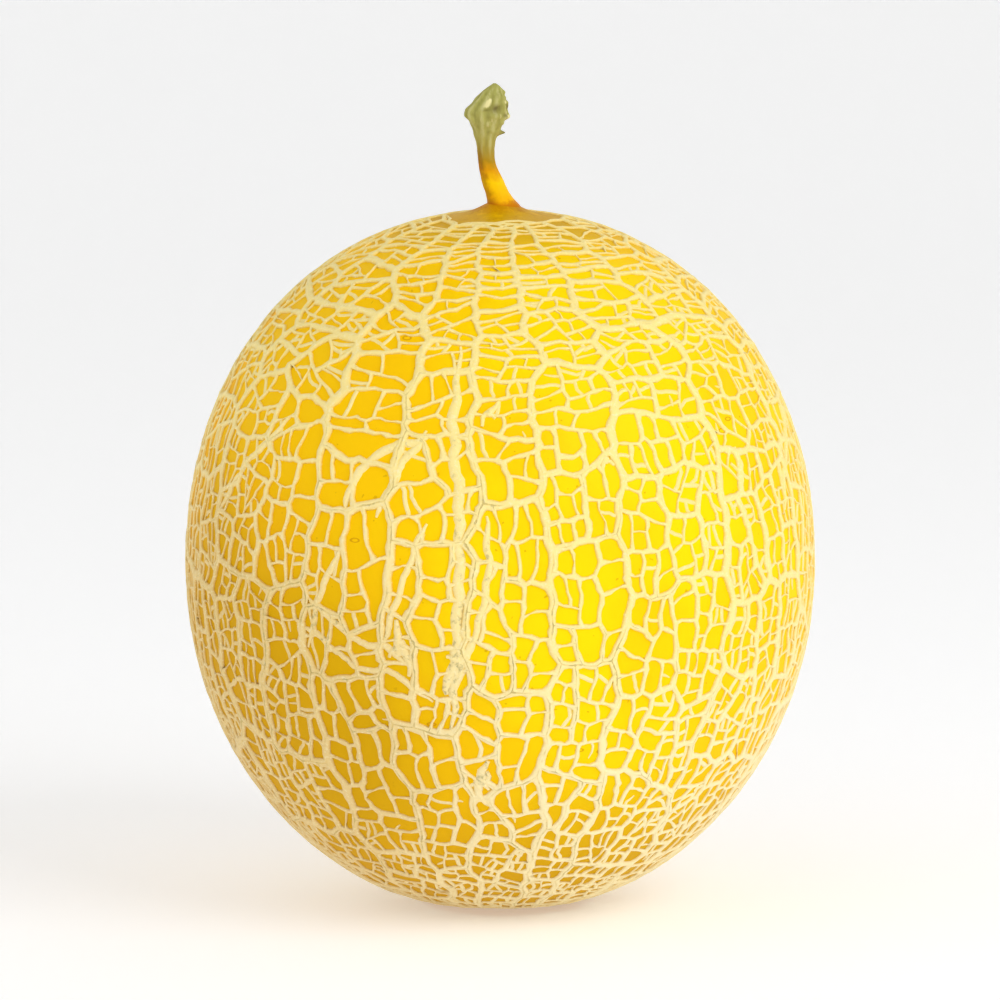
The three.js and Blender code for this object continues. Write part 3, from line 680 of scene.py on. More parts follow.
class CrackNet:
    """Patches on a sphere round the fruit's centre. Neighbours share their points."""

    def __init__(self, seed):
        self.state = seed
        self.points = []          # directions of length 1
        self.patches = []         # loops of point numbers, counter-clockwise from outside
        self.taste = []           # one drawn number for each patch
        self.owner = {}           # (i, j) going round a patch: the patch
        self.width = {}           # (i, j) with i < j: the ridge's width
        self.cuts = []            # (first point, second point, width)
        self.whole = set()        # patches that never crack: the collar and the blossom end
        self.cut_turn = CUT_TURN

    def draw(self):
        self.state = self.state * LEHMER_FACTOR % LEHMER_PRIME
        return self.state / LEHMER_PRIME

    def set_patch(self, index, loop):
        if index == len(self.patches):
            self.patches.append(None)
            self.taste.append(None)
        self.patches[index] = loop
        self.taste[index] = self.draw()
        for side in sides_of(loop):
            self.owner[side] = index

    def start_long_cracks(self):
        columns = []
        for longitude in LONG_CRACKS:
            column = []
            for latitude, sway_longitude, sway_latitude in LONG_CRACK_ROWS:
                turn = (self.draw() - 0.5) * sway_longitude
                climb = (self.draw() - 0.5) * sway_latitude
                column.append(len(self.points))
                self.points.append(direction_at(longitude + turn, latitude + climb))
            columns.append(column)
        for left, right in sides_of(columns):
            self.set_patch(len(self.patches), left + right[::-1])
            for upper, lower in zip(left, left[1:]):
                uneven = spread_around(LONG_CRACK_SPREAD, self.draw())
                self.width[side_key(upper, lower)] = LONG_CRACK_WIDTH * uneven
            self.width[side_key(left[0], right[0])] = END_RING_WIDTH
            self.width[side_key(left[-1], right[-1])] = END_RING_WIDTH
        tops = [column[0] for column in columns]
        feet = [column[-1] for column in columns]
        for loop in (tops, feet[::-1]):
            self.whole.add(len(self.patches))
            self.set_patch(len(self.patches), loop)

    def centre_of(self, loop):
        here = np.array([self.points[i] for i in loop])
        after = np.roll(here, -1, 0)
        length = np.linalg.norm(after - here, axis=1)
        centre = ((here + after) * length[:, None]).sum(0)
        return centre / np.linalg.norm(centre)

    def axes_at(self, centre):
        east = np.array([-centre[1], centre[0], 0]) / math.hypot(centre[0], centre[1])
        return east, np.cross(centre, east)

    def flatten(self, loop, centre):
        """A patch laid flat on the plane that touches the skin, in millimetres."""
        points = np.array([self.points[i] for i in loop])
        scale = float(skin_distance(centre)) / (points @ centre)
        east, north = self.axes_at(centre)
        return np.column_stack([points @ east * scale, points @ north * scale])

    def ridge_width(self, i, j):
        """A ridge is widest where it runs along a meridian, and thin near the stem."""
        along = self.points[j] - self.points[i]
        upright = abs(along @ self.axes_at(self.points[i])[1]) / np.linalg.norm(along)
        thinned = 1 - TOP_THINNING * smooth(*ROUND_STEM, self.points[i][2])
        top = smooth(*NEAR_STEM, self.points[i][2])
        level = LEVEL_SHARE + (TOP_LEVEL_SHARE - LEVEL_SHARE) * top
        width = EVEN_WIDTH * (self.width[side_key(i, j)] / EVEN_WIDTH) ** EVENNESS
        return width * (level + (1 - level) * upright) * thinned

    def split_side(self, i, j, share):
        """A new point on the side i-j, at a share of its length, in both its patches."""
        middle = self.points[i] + (self.points[j] - self.points[i]) * share
        k = len(self.points)
        self.points.append(middle / np.linalg.norm(middle))
        width = self.width.pop(side_key(i, j))
        self.width[side_key(i, k)] = width
        self.width[side_key(k, j)] = width
        for a, b in ((i, j), (j, i)):
            index = self.owner.pop((a, b))
            loop = self.patches[index]
            loop.insert(loop.index(a) + 1, k)
            self.owner[a, k] = index
            self.owner[k, b] = index
        return k

    def lean_of(self, flat, stretch):
        """The way a patch is longest, from the spread of its sides, and half its length."""
        after = np.roll(flat, -1, 0)
        length = np.linalg.norm(after - flat, axis=1)
        x, y = ((flat + after) / 2 * [1, stretch]).T
        xx, xy, yy = (length * x * x).sum(), (length * x * y).sum(), (length * y * y).sum()
        return 0.5 * math.atan2(2 * xy, xx - yy), math.sqrt(max(xx, yy) / length.sum())

    def best_cut(self, loop, flat, stretch, width):
        """Of a few cuts across the patch, the one that meets its two sides most squarely."""
        lean, half = self.lean_of(flat, stretch)
        count = len(loop)
        piece = SHORTEST_PIECE * max(width, THINNEST)
        best = None
        for _ in range(CUT_TRIES):
            turn = lean + math.pi / 2 + (self.draw() - 0.5) * self.cut_turn
            shift = (self.draw() - 0.5) * CUT_SHIFT * half
            foot = np.array([math.cos(lean) * shift, math.sin(lean) * shift / stretch])
            way = np.array([math.cos(turn), math.sin(turn) / stretch])
            way /= np.linalg.norm(way)
            side = (flat[:, 0] - foot[0]) * way[1] - (flat[:, 1] - foot[1]) * way[0]
            hits = [k for k in range(count) if (side[k] < 0) != (side[(k + 1) % count] < 0)]
            if len(hits) != 2:
                continue
            cost = 0
            ends = []
            for k in hits:
                after = (k + 1) % count
                share = side[k] / (side[k] - side[after])
                along = flat[after] - flat[k]
                length = math.hypot(*along)
                clear = min(share, 1 - share) * length / piece
                cost += abs(along @ way) / length + SHORT_PIECE_COST * max(0, 1 - clear)
                room = min(0.5, piece / length)
                ends.append((loop[k], loop[after], min(max(share, room), 1 - room)))
            if best is None or cost < best[0]:
                best = (cost, ends)
        return best

    def cut(self, index, flat, stretch, width, holding):
        best = self.best_cut(self.patches[index], flat, stretch, width)
        if best is None:
            return False
        if min(self.width[side_key(i, j)] for i, j, _ in best[1]) < holding:
            width = 0
        first, second = [self.split_side(*end) for end in best[1]]
        loop = self.patches[index]
        a, b = sorted([loop.index(first), loop.index(second)])
        near = loop[a:b + 1]
        far = loop[b:] + loop[:a + 1]
        self.width[side_key(first, second)] = width
        self.cuts.append((first, second, width))
        self.set_patch(index, near)
        self.set_patch(len(self.patches), far)
        return True

    def crack_on(self, patch_area, spread, crowd=0, width_rule=crack_width, holding=0):
        """Cracks each patch that is still larger than its own limit. A crack between lines
        that are thinner than holding stays closed: its width is 0."""
        index = 0
        while index < len(self.patches):
            cracked = False
            if index not in self.whole:
                centre = self.centre_of(self.patches[index])
                flat = self.flatten(self.patches[index], centre)
                after = np.roll(flat, -1, 0)
                area = abs((flat[:, 0] * after[:, 1] - after[:, 0] * flat[:, 1]).sum()) / 2
                limit = patch_area * patch_share(centre) * (1 - crowd * crowding(centre))
                if area >= limit * spread_around(spread, self.taste[index]):
                    width = width_rule(area, self.draw(), centre)
                    cracked = self.cut(index, flat, stretch_of(centre, area), width, holding)
            if not cracked:
                index += 1

    def relax(self, pull):
        """Points move towards their neighbours, so that wide ridges run on smoothly."""
        points = np.array(self.points)
        total = np.zeros_like(points)
        for (i, j), width in self.width.items():
            total[i] += points[j] * width ** 2
            total[j] += points[i] * width ** 2
        total /= np.linalg.norm(total, axis=1)[:, None]
        points += (total - points) * pull
        self.points = list(points / np.linalg.norm(points, axis=1)[:, None])


# %% A slow wander
SECOND_WAVE = (0.6, 2.1)          # its reach and its pitch, times the first one's
WAVE_STARTS = [(1.3, 0.4), (2.9, 5.1), (4.2, 3.3)]


def wander(direction, reach, pitch):
    """A smooth sideways drift that is the same for every point at one place."""
    along = np.moveaxis(np.asarray(direction, float), -1, 0)
    share, quicker = SECOND_WAVE
    moved = np.stack([
        along[k] + reach * (np.sin(pitch * along[(k + 1) % 3] + first)
                            + share * np.sin(quicker * pitch * along[(k + 2) % 3] + second))
        for k, (first, second) in enumerate(WAVE_STARTS)], -1)
    return moved / np.linalg.norm(moved, axis=-1, keepdims=True)


# %% Crack the skin
SOLID_PATCH_AREA = 290            # where the solids stopped, and how unevenly
SOLID_PATCH_SPREAD = 0.8
SOLID_RELAX = 0.35                # how far points then move towards their neighbours
DRIFT_REACH = 0.009
DRIFT_PITCH = 9
NET_PATCH_AREA = 60               # where the ridges of the finished net stop
NET_PATCH_SPREAD = 1.1
NET_CROWDING = 0.4                # how much smaller patches are where it is crowded
NET_RELAX = 0.22
CLOSE_PLACE = (17, 3)             # round here the largest patches crack once more
CLOSE_REACH = 0.905               # the cosine of how far that goes
CLOSE_PATCH_AREA = 47
CLOSE_PATCH_SPREAD = 0.5

net = CrackNet(NET_SEED)
net.start_long_cracks()
net.crack_on(SOLID_PATCH_AREA, SOLID_PATCH_SPREAD)
net.relax(SOLID_RELAX)
net.points = list(wander(np.array(net.points), DRIFT_REACH, DRIFT_PITCH))
print("patches where the solids stopped:", len(net.patches))
net.cut_turn = YOUNG_CUT_TURN
net.crack_on(NET_PATCH_AREA, NET_PATCH_SPREAD, NET_CROWDING)
both_ends = net.whole
close_place = direction_at(*CLOSE_PLACE)
net.whole = {
    index for index, loop in enumerate(net.patches)
    if net.centre_of(loop) @ close_place < CLOSE_REACH}
net.crack_on(CLOSE_PATCH_AREA, CLOSE_PATCH_SPREAD)
net.whole = both_ends
net.relax(NET_RELAX)
print("patches in the finished net:", len(net.patches))

# %% [markdown]
# ## Ridges
#
# On the real fruit a ridge is a low wall of cork: it rises steeply from the skin, rounds over,
# and is nearly flat on top. Where ridges meet, their sides run into each other in a small
# fillet. Displacing a fine grid would need millions of faces for such thin walls. So the mesh
# follows the cracks instead: each patch gives a foot line and a shoulder line, drawn in from its
# cracks, and neighbouring patches share the crest between them. A flat underside, sunk a little
# into the skin, closes the net into one solid body.

# %% Ridge sizes
RIDGE_STEP = 1.8                  # between samples along a ridge
CREST_LOW = 0.32                  # height of the thinnest ridge above the skin
CREST_HIGH = 0.62                 # and of the widest
SHOULDER_SHARE = 0.82             # of the crest's height
SHOULDER_REACH = 0.3              # the steep side's width
FOOT_SINK = 0.14                  # the foot's depth below the skin
LEAST_WIDTH_SHARE = 0.2           # of the widest ridge, where a crest is lowest
CORNER_PULL = 0.07                # how much a patch's corners are rounded
WOBBLES = [(0.0075, 26), (0.002, 95), (0.0011, 260)]    # reach and pitch
RAGGED = 0.22                     # how far a foot line strays, at random
CREST_RIPPLE = 0.05               # how much a crest goes up and down
RIPPLE_PITCHES = (190, 170, 183, 160)
STRAIGHT = 0.25                   # a corner that turns by less than this sine is no corner
ROOM_SHARE = 0.6                  # a ridge takes at most this much of the way to the middle
SQUEEZE_STEP = 0.85               # and is drawn thinner by this until the outline is sound
LEAST_SQUEEZE = 0.15
SHRUNK = 0.5                      # an outline that never is shrinks to this


def wobble(direction):
    for reach, pitch in WOBBLES:
        direction = wander(direction, reach, pitch)
    return direction


def crest_ripple(direction):
    """The top of a ridge is never quite level."""
    x, y, z = np.moveaxis(direction, -1, 0)
    first, second, third, fourth = RIPPLE_PITCHES
    waves = np.sin(first * x + 3 * y) * np.sin(second * y + 1)
    waves = waves + np.sin(third * z + 2) * np.sin(fourth * x)
    return CREST_RIPPLE * waves


def draw_in(flat, halves):
    """A patch's outline, drawn in on each side by half of that side's ridge."""
    after = np.roll(flat, -1, 0)
    along = after - flat
    inward = np.column_stack([-along[:, 1], along[:, 0]]) / np.linalg.norm(along, axis=1)[:, None]
    at = (inward * flat).sum(1)
    room = np.maximum(-at, 0)
    before = np.roll(inward, 1, 0)
    cross = before[:, 0] * inward[:, 1] - before[:, 1] * inward[:, 0]
    straight = np.abs(cross) < STRAIGHT
    safe = np.where(straight, 1, cross)
    middle = before + inward
    middle /= np.linalg.norm(middle, axis=1)[:, None]
    squeeze = 1
    while squeeze > LEAST_SQUEEZE:
        by = np.minimum(halves * squeeze, ROOM_SHARE * room)
        line = at + by
        line_before = np.roll(line, 1)
        corner = np.column_stack([
            (line_before * inward[:, 1] - line * before[:, 1]) / safe,
            (before[:, 0] * line - inward[:, 0] * line_before) / safe])
        run_on = flat + middle * ((by + np.roll(by, 1)) / 2)[:, None]
        drawn = np.where(straight[:, None], run_on, corner)
        if (((np.roll(drawn, -1, 0) - drawn) * along).sum(1) > 0).all():
            return drawn
        squeeze *= SQUEEZE_STEP
    return flat * SHRUNK


# %% Build the net's mesh
class RidgeMesh:
    """Collects the net's points and faces, patch by patch."""

    def __init__(self, net):
        self.net = net
        self.places = []          # blocks of points in metres
        self.profile = []         # for each block: 0 at the foot, 1 at the crest
        self.ridge = []           # for each block: the ridge's width in millimetres
        self.count = 0
        self.faces = []
        self.under_faces = []
        self.samples = {}         # side: its points on the crest, both ends left out
        self.side_start = {}      # (patch, point): that corner's sample in the patch's block
        self.block = {}           # patch: (number of samples, first foot point)
        self.chance = np.random.default_rng(NET_SEED)

    def add(self, places, profile, ridge):
        first = self.count
        self.places.append(places)
        self.profile.append(np.full(len(places), profile))
        self.ridge.append(ridge)
        self.count += len(places)
        return first

    def crest_line(self):
        """The crests: the cracks' own points, and samples along each side."""
        net = self.net
        corners = np.array(net.points)
        widest = np.zeros(len(corners))
        for i, j in net.width:
            widest[[i, j]] = np.maximum(widest[[i, j]], net.ridge_width(i, j))
        directions = [corners]
        ridge = [widest]
        count = len(corners)
        for i, j in net.width:
            width = net.ridge_width(i, j)
            length = np.linalg.norm(corners[i] - corners[j]) * SKIN_RADIUS
            pieces = max(1, round(length / RIDGE_STEP))
            share = np.arange(1, pieces)[:, None] / pieces
            between = corners[i] + (corners[j] - corners[i]) * share
            directions.append(between / np.linalg.norm(between, axis=1)[:, None])
            ridge.append(np.full(pieces - 1, width))
            self.samples[i, j] = list(range(count, count + pieces - 1))
            count += pieces - 1
        self.crest = np.vstack(directions)
        self.crest_ridge = np.concatenate(ridge)
        moved = wobble(self.crest)
        share = np.clip(self.crest_ridge / LONG_CRACK_WIDTH, LEAST_WIDTH_SHARE, 1)
        rise = CREST_LOW + (CREST_HIGH - CREST_LOW) * share + crest_ripple(moved)
        self.add(place_on_skin(moved, np.minimum(rise, CREST_HIGH)), 1, self.crest_ridge)
        self.crest_rise = rise

    def ring_of(self, loop):
        """The crest's point numbers all round a patch, and where each corner's is."""
        ring = []
        starts = []
        for i, j in sides_of(loop):
            starts.append(len(ring))
            between = self.samples[side_key(i, j)]
            ring += [i] + (between if i < j else between[::-1])
        return ring, starts

    def add_patch(self, index):
        """A patch's foot and shoulder lines, and the ridge's side up to the crest."""
        net = self.net
        loop = net.patches[index]
        ring, starts = self.ring_of(loop)
        count = len(ring)
        for i, start in zip(loop, starts):
            self.side_start[index, i] = start
        centre = net.centre_of(loop)
        halves = np.array([net.ridge_width(i, j) for i, j in sides_of(loop)]) / 2
        corners = draw_in(net.flatten(loop, centre), halves)
        line = []
        for k, start in enumerate(starts):
            pieces = (starts + [count])[k + 1] - start
            share = np.arange(pieces)[:, None] / pieces
            after = corners[(k + 1) % len(loop)]
            line.append(corners[k] + (after - corners[k]) * share)
        line = np.vstack(line)
        line += CORNER_PULL * (np.roll(line, 1, 0) + np.roll(line, -1, 0) - 2 * line)
        line += self.chance.uniform(-RAGGED, RAGGED, line.shape)
        east, north = net.axes_at(centre)
        foot = centre * float(skin_distance(centre)) + line[:, :1] * east + line[:, 1:] * north
        foot /= np.linalg.norm(foot, axis=1)[:, None]
        crest = self.crest[ring]
        across = crest - foot
        reach = np.linalg.norm(across, axis=1) * SKIN_RADIUS
        share = np.minimum(0.5, SHOULDER_REACH / np.maximum(reach, 1e-6))
        shoulder = foot + across * share[:, None]
        shoulder /= np.linalg.norm(shoulder, axis=1)[:, None]
        ridge = self.crest_ridge[ring]
        foot_first = self.add(place_on_skin(wobble(foot), -FOOT_SINK), 0, ridge)
        rise = self.crest_rise[ring] * SHOULDER_SHARE
        shoulder_first = self.add(place_on_skin(wobble(shoulder), rise), 0.5, ridge)
        self.block[index] = (count, foot_first)
        for k in range(count):
            after = (k + 1) % count
            self.faces.append((ring[k], ring[after], shoulder_first + after, shoulder_first + k))
            self.faces.append((shoulder_first + k, shoulder_first + after,
                               foot_first + after, foot_first + k))

    def foot(self, index, i, step=0):
        count, first = self.block[index]
        return first + (self.side_start[index, i] + step) % count

    def add_underside(self):
        """The flat bottom: a strip under each ridge, and a face under each meeting."""
        net = self.net
        for (i, j), between in self.samples.items():
            left = net.owner[i, j]
            right = net.owner[j, i]
            pieces = len(between) + 1
            for step in range(pieces):
                self.under_faces.append((
                    self.foot(left, i, step), self.foot(left, i, step + 1),
                    self.foot(right, j, pieces - step - 1), self.foot(right, j, pieces - step)))
        done = set()
        for index, loop in enumerate(net.patches):
            for i in loop:
                if i in done:
                    continue
                done.add(i)
                corner = []
                patch = index
                while not corner or patch != index:
                    corner.append(self.foot(patch, i))
                    around = net.patches[patch]
                    patch = net.owner[around[(around.index(i) + 1) % len(around)], i]
                if len(corner) > 2:
                    self.under_faces.append(tuple(corner))

    def build(self):
        self.crest_line()
        for index in range(len(self.net.patches)):
            self.add_patch(index)
        self.add_underside()
        return np.vstack(self.places), self.faces, self.under_faces


# %% The net as one piece
ridges = RidgeMesh(net)
places, faces, under_faces = ridges.build()
net_mesh = bpy.data.meshes.new("cork_net")
net_mesh.from_pydata(places.tolist(), [], faces + under_faces)
net_mesh.polygons.foreach_set("use_smooth", [True] * len(faces) + [False] * len(under_faces))
number_attribute(net_mesh, "profile", np.concatenate(ridges.profile))
number_attribute(net_mesh, "ridge", np.concatenate(ridges.ridge))
cork_net = put("cork_net", net_mesh)
print("net:", len(net.patches), "patches,", triangles_of(net_mesh), "triangles")

# %% [markdown]
# ## Threads, late ridges and scars
#
# Between the ridges run thinner threads. They are the youngest cracks, and many stop halfway
# across a patch. The same rule goes on cracking a copy of the net to find where they lie, and
# more of them bow out over the collar. A few late ridges run across older ones, as the skin
# cracked again where it had healed, and they are placed one by one. In a few places the cork has
# grown in small stars, where several cracks met and healed badly. Each line is a few points
# with a radius, and one geometry tree sweeps them all into tubes, sunk in the skin so that only
# a low rounded back stands out.

# %% Find the threads
THREAD_PATCH_AREA = 25            # where the thin threads stop
THREAD_PATCH_SPREAD = 0.9
THREAD_CROWDING = 0.3
THREAD_WIDTH = 1.32
THREAD_SPREAD = (0.8, 0.5)        # the thinnest one's share of that, and the widest one's more
THREAD_STEP = 1.25                # between points along a thread
THREAD_BACK = 0.3                 # how far a thread stands out of the skin
THREAD_BOW = 0.26                 # how much it may bend, as a share of its length
THREAD_SIDES = 5
HOLDING_WIDTH = 0.5               # a thread starts only from a line at least this wide
SKIPPED_THREADS = 0.38            # in the middle, where the net is open
SKIPPED_LESS = 0.5                # times less, where it is crowded
MOST_SKIPPED = 0.85
LATE_TURNS = [(0, 1), (128, 1), (228, -1)]      # turns round the fruit, and 1 or mirrored
SPARSE_LONGITUDE = -26            # more are skipped round here, at each of those turns
SPARSE_LATITUDE = 8
SPARSE_MORE = 0.62
SPARSE_REACH = (0.3, 1)           # cosines of how far that goes
TOP_SKIPPED_MORE = 0.55           # and round the stem
STEM_REACH = (0.72, 0.92)
DEAD_ENDS = 0.16                  # of the threads that are left there
DEAD_ENDS_LESS = 0.75
DEAD_END_WIDTH = 0.49             # marks a dead end: it is less than the holding width
DEAD_END_SPREAD = (0.7, 0.3)
DEAD_END_EXTRA = 0.45             # so a dead end is drawn wider by this
DEAD_END_LENGTH = (0.45, 0.4)     # the shortest one's share of the way, and the longest's more
TIP_SHARE = 0.35                  # a dead end's radius at its tip


def pick(low_and_more, chance):
    """From the low end of a range up to its high end."""
    low, more = low_and_more
    return low + more * chance


def thread_width(area, chance, centre):
    """No width for a crack that never healed over, and a small one for a dead end."""
    crowded = crowding(centre)
    sparse = 0
    for turn, mirror in LATE_TURNS:
        place = direction_at(turn + mirror * SPARSE_LONGITUDE, SPARSE_LATITUDE)
        sparse = max(sparse, smooth(*SPARSE_REACH, centre @ place))
    skipped = (SKIPPED_THREADS + SPARSE_MORE * sparse) * (1 - SKIPPED_LESS * crowded)
    skipped += TOP_SKIPPED_MORE * smooth(*STEM_REACH, centre[2])
    skipped = min(skipped, MOST_SKIPPED)
    if chance < skipped:
        return 0
    chance = (chance - skipped) / (1 - skipped)
    dead_ends = DEAD_ENDS * (1 - DEAD_ENDS_LESS * crowded)
    if chance < dead_ends:
        return DEAD_END_WIDTH * pick(DEAD_END_SPREAD, chance / dead_ends)
    return THREAD_WIDTH * pick(THREAD_SPREAD, (chance - dead_ends) / (1 - dead_ends))


# %% Bend the threads


def bowed_line(start, end, bow, steps):
    """Points along a slightly bent line on the skin, and each point's share of the way."""
    share = np.linspace(0, 1, steps + 1)[:, None]
    side = np.cross(start, end)
    along = start + (end - start) * share
    along = along + side * bow * np.sin(math.pi * share)
    return along / np.linalg.norm(along, axis=1)[:, None], share[:, 0]


def find_threads(coarse):
    fine = copy.deepcopy(coarse)
    fine.cuts = []
    fine.crack_on(
        THREAD_PATCH_AREA, THREAD_PATCH_SPREAD, THREAD_CROWDING, thread_width, HOLDING_WIDTH)
    lines = []
    for first, second, width in fine.cuts:
        if width == 0:
            continue
        reach = fine.draw()
        bow = (fine.draw() - 0.5) * THREAD_BOW
        turned = fine.draw()
        start = fine.points[first]
        end = fine.points[second]
        if turned < 0.5:
            start, end = end, start
        tip = 1
        if width < HOLDING_WIDTH:
            end = start + (end - start) * pick(DEAD_END_LENGTH, reach)
            width += DEAD_END_EXTRA
            tip = TIP_SHARE
        length = np.linalg.norm(end - start) * SKIN_RADIUS
        places, share = bowed_line(start, end, bow, max(2, round(length / THREAD_STEP)))
        lines.append((places, width / 2 * (1 + (tip - 1) * share ** 2), THREAD_BACK))
    return lines


# %% Find the collar's threads
COLLAR_ARCS = 30
COLLAR_ARC_WIDTH = 0.9
COLLAR_ARC_REACH = 15             # the longest arc, from end to end
COLLAR_ARC_RISE = 2.2             # how far an arc may bow out
COLLAR_ARC_STEPS = 4              # of the ring's points, at most, between its ends
LOW_ARC = (0.3, 0.7)              # the flattest arc's share of the rise, and the rest
ARC_SPREAD = (0.8, 0.4)           # its width at its first end, and what it gains


def find_collar_threads(net):
    """Threads that bow out towards the stem from the net's last ring."""
    ring = net.patches[min(net.whole)]
    lines = []
    for _ in range(COLLAR_ARCS):
        first = int(net.draw() * len(ring))
        steps = 1 + int(COLLAR_ARC_STEPS * net.draw())
        start = net.points[ring[first]]
        end = net.points[ring[(first + steps) % len(ring)]]
        reach = np.linalg.norm(end - start) * SKIN_RADIUS
        rise = COLLAR_ARC_RISE * pick(LOW_ARC, net.draw())
        if reach > COLLAR_ARC_REACH:
            continue
        places, share = bowed_line(start, end, rise / reach, max(3, round(reach / THREAD_STEP)))
        lines.append((places, COLLAR_ARC_WIDTH / 2 * pick(ARC_SPREAD, share), THREAD_BACK))
    return lines


# %% Place the late ridges
LATE_RIDGES = [                   # width, then longitudes and latitudes along the ridge
    (2.2, [(-29.2, 16.5), (-28.8, 21.3), (-24.8, 24.8), (-19.7, 27.7), (-13.1, 30.3)]),
    (2.0, [(-23.1, 15.3), (-20.6, 21), (-17.6, 25.8), (-14.1, 31.1)]),
    (1.7, [(-36.6, 0.1), (-30.1, -3.5), (-25.3, -6.8), (-20.5, -7.9), (-17.4, -10.9)]),
    (1.5, [(-38.9, -4.6), (-32.2, -7.7), (-26.9, -11.4), (-20.7, -12), (-12.5, -16.7)]),
    (2.4, [(-10, 46), (-9, 32), (-8.2, 21), (-7.6, 11), (-7.9, 1), (-8.2, -11), (-9.5, -24)]),
    (1.8, [(-2.9, 15.9), (-2.3, 5.6), (-4, -3.2), (-7.3, -9.8)]),
    (1.6, [(-46, 32), (-53.8, 24.7), (-60.1, 18.4), (-63, 12.5)]),
    (1.6, [(-29.1, 10.2), (-32.9, 2.8), (-33.9, -2.1), (-36.9, -8.9)]),
    (1.6, [(-14.1, 14.9), (-16.3, 7.7), (-19.5, -1.2), (-21.8, -7.8)])]
LATE_SHARE = 0.7                  # of the late ridges, where they are grown again
LATE_BACK = 0.52                  # how far a late ridge stands out of the skin
LATE_STEPS = 9                    # from one given point to the next
LATE_SMOOTHINGS = 8
LATE_TAPER = (-0.06, 0.16)        # each end is full after this share of the way
LATE_LUMPS = 0.05
LATE_LUMP_ROUNDS = 5


def lumps(shape, rounds, seed):
    """Random bumps that run into each other, all the way round."""
    height = np.random.default_rng(seed).normal(size=shape)
    for _ in range(rounds):
        height = (height + np.roll(height, 1, 1) + np.roll(height, -1, 1)) / 3
        height[1:-1] = (height[:-2] + height[1:-1] + height[2:]) / 3
    return height / height.std()


def flat_tube(width, back):
    """The radius of a sunk tube that shows this width and stands out this far."""
    return (width ** 2 / 4 + back ** 2) / (2 * back)


def find_late_ridges(seed):
    """Ridges that grew last, at a slant across older ones, and again on the other sides."""
    chance = np.random.default_rng(seed)
    lines = []
    for turn, mirror in LATE_TURNS:
        for width, stops in LATE_RIDGES:
            if turn and chance.random() > LATE_SHARE:
                continue
            given = np.array([direction_at(turn + mirror * east, up) for east, up in stops])
            at = np.linspace(0, len(stops) - 1, (len(stops) - 1) * LATE_STEPS + 1)
            places = np.column_stack([
                np.interp(at, range(len(stops)), given[:, k]) for k in range(3)])
            for _ in range(LATE_SMOOTHINGS):
                places[1:-1] = (places[:-2] + 2 * places[1:-1] + places[2:]) / 4
            places /= np.linalg.norm(places, axis=1)[:, None]
            bumps = lumps((1, len(places)), LATE_LUMP_ROUNDS, int(chance.integers(1000)))[0]
            swell = np.clip(1 + LATE_LUMPS * bumps, 0.7, 1.3)
            share = at / at[-1]
            taper = smooth(*LATE_TAPER, share) * smooth(*LATE_TAPER, 1 - share)
            radius = flat_tube(width * swell * taper, LATE_BACK)
            lines.append((places, radius, LATE_BACK))
    return lines


# %% Place the scars
SCARS = [                         # longitude, latitude, reach, width, number of arms
    (-7.8, -10.7, 8.5, 4.6, 5), (-18.5, -8, 7.5, 3.6, 4), (-3, -32.5, 7, 3.4, 5),
    (51.5, 22, 5, 2.0, 5), (-1.5, 34.5, 4, 1.8, 5), (21, 25, 4, 1.7, 5), (118, 10, 6, 2.4, 5),
    (172, -12, 7, 2.6, 5), (-118, 22, 6, 2.2, 5), (-74, -28, 5, 2.0, 5), (-150, -35, 6, 2.2, 5)]
SCAR_BACK = 0.66
SCAR_SIDES = 12
SCAR_STEPS = 9
SCAR_BOW = 0.4
SCAR_START = 0.2                  # an arm starts this share of its length past the middle
SCAR_THINNING = (0.7, 1.3)        # how much thinner its tip is, and how late it thins
LONG_ARMS = 2                     # these lie along the meridian, and the rest anyhow
LONG_ARM_SWAY = 0.3
ARM_SPREAD = (0.7, 0.3)           # the shortest arm's share of the reach, and the rest
SHORT_ARM = (0.55, 0.5)           # a short arm's length and width, as shares
LONG_ARM = (1, 0.85)


def find_scars(seed):
    maker = CrackNet(seed)
    lines = []
    for longitude, latitude, reach, width, arms in SCARS:
        centre = direction_at(longitude, latitude)
        east, north = maker.axes_at(centre)
        for arm in range(arms):
            turn = math.pi * (arm + 0.5 + LONG_ARM_SWAY * (maker.draw() - 0.5))
            if arm >= LONG_ARMS:
                turn = 2 * math.pi * maker.draw()
            longer, wider = LONG_ARM if arm < LONG_ARMS else SHORT_ARM
            length = reach * pick(ARM_SPREAD, maker.draw()) * longer / SKIN_RADIUS
            way = east * math.cos(turn) + north * math.sin(turn)
            start = centre - way * SCAR_START * length
            bow = (maker.draw() - 0.5) * SCAR_BOW
            places, share = bowed_line(start, centre + way * length, bow, SCAR_STEPS)
            thinner, late = SCAR_THINNING
            visible = width * wider * (1 - thinner * share ** late)
            lines.append((places, flat_tube(visible, SCAR_BACK), SCAR_BACK))
    return lines


# %% Sweep the lines
def line_mesh(name, lines):
    """All lines as edges, each point with its radius in metres."""
    points = []
    edges = []
    radii = []
    first = 0
    for places, radius, back in lines:
        points.append(place_on_skin(wobble(places), np.minimum(back, radius) - radius))
        radii.append(radius * MM)
        edges += [(k, k + 1) for k in range(first, first + len(places) - 1)]
        first += len(places)
    mesh = bpy.data.meshes.new(name)
    mesh.from_pydata(np.vstack(points).tolist(), edges, [])
    number_attribute(mesh, "thickness", np.concatenate(radii))
    return mesh


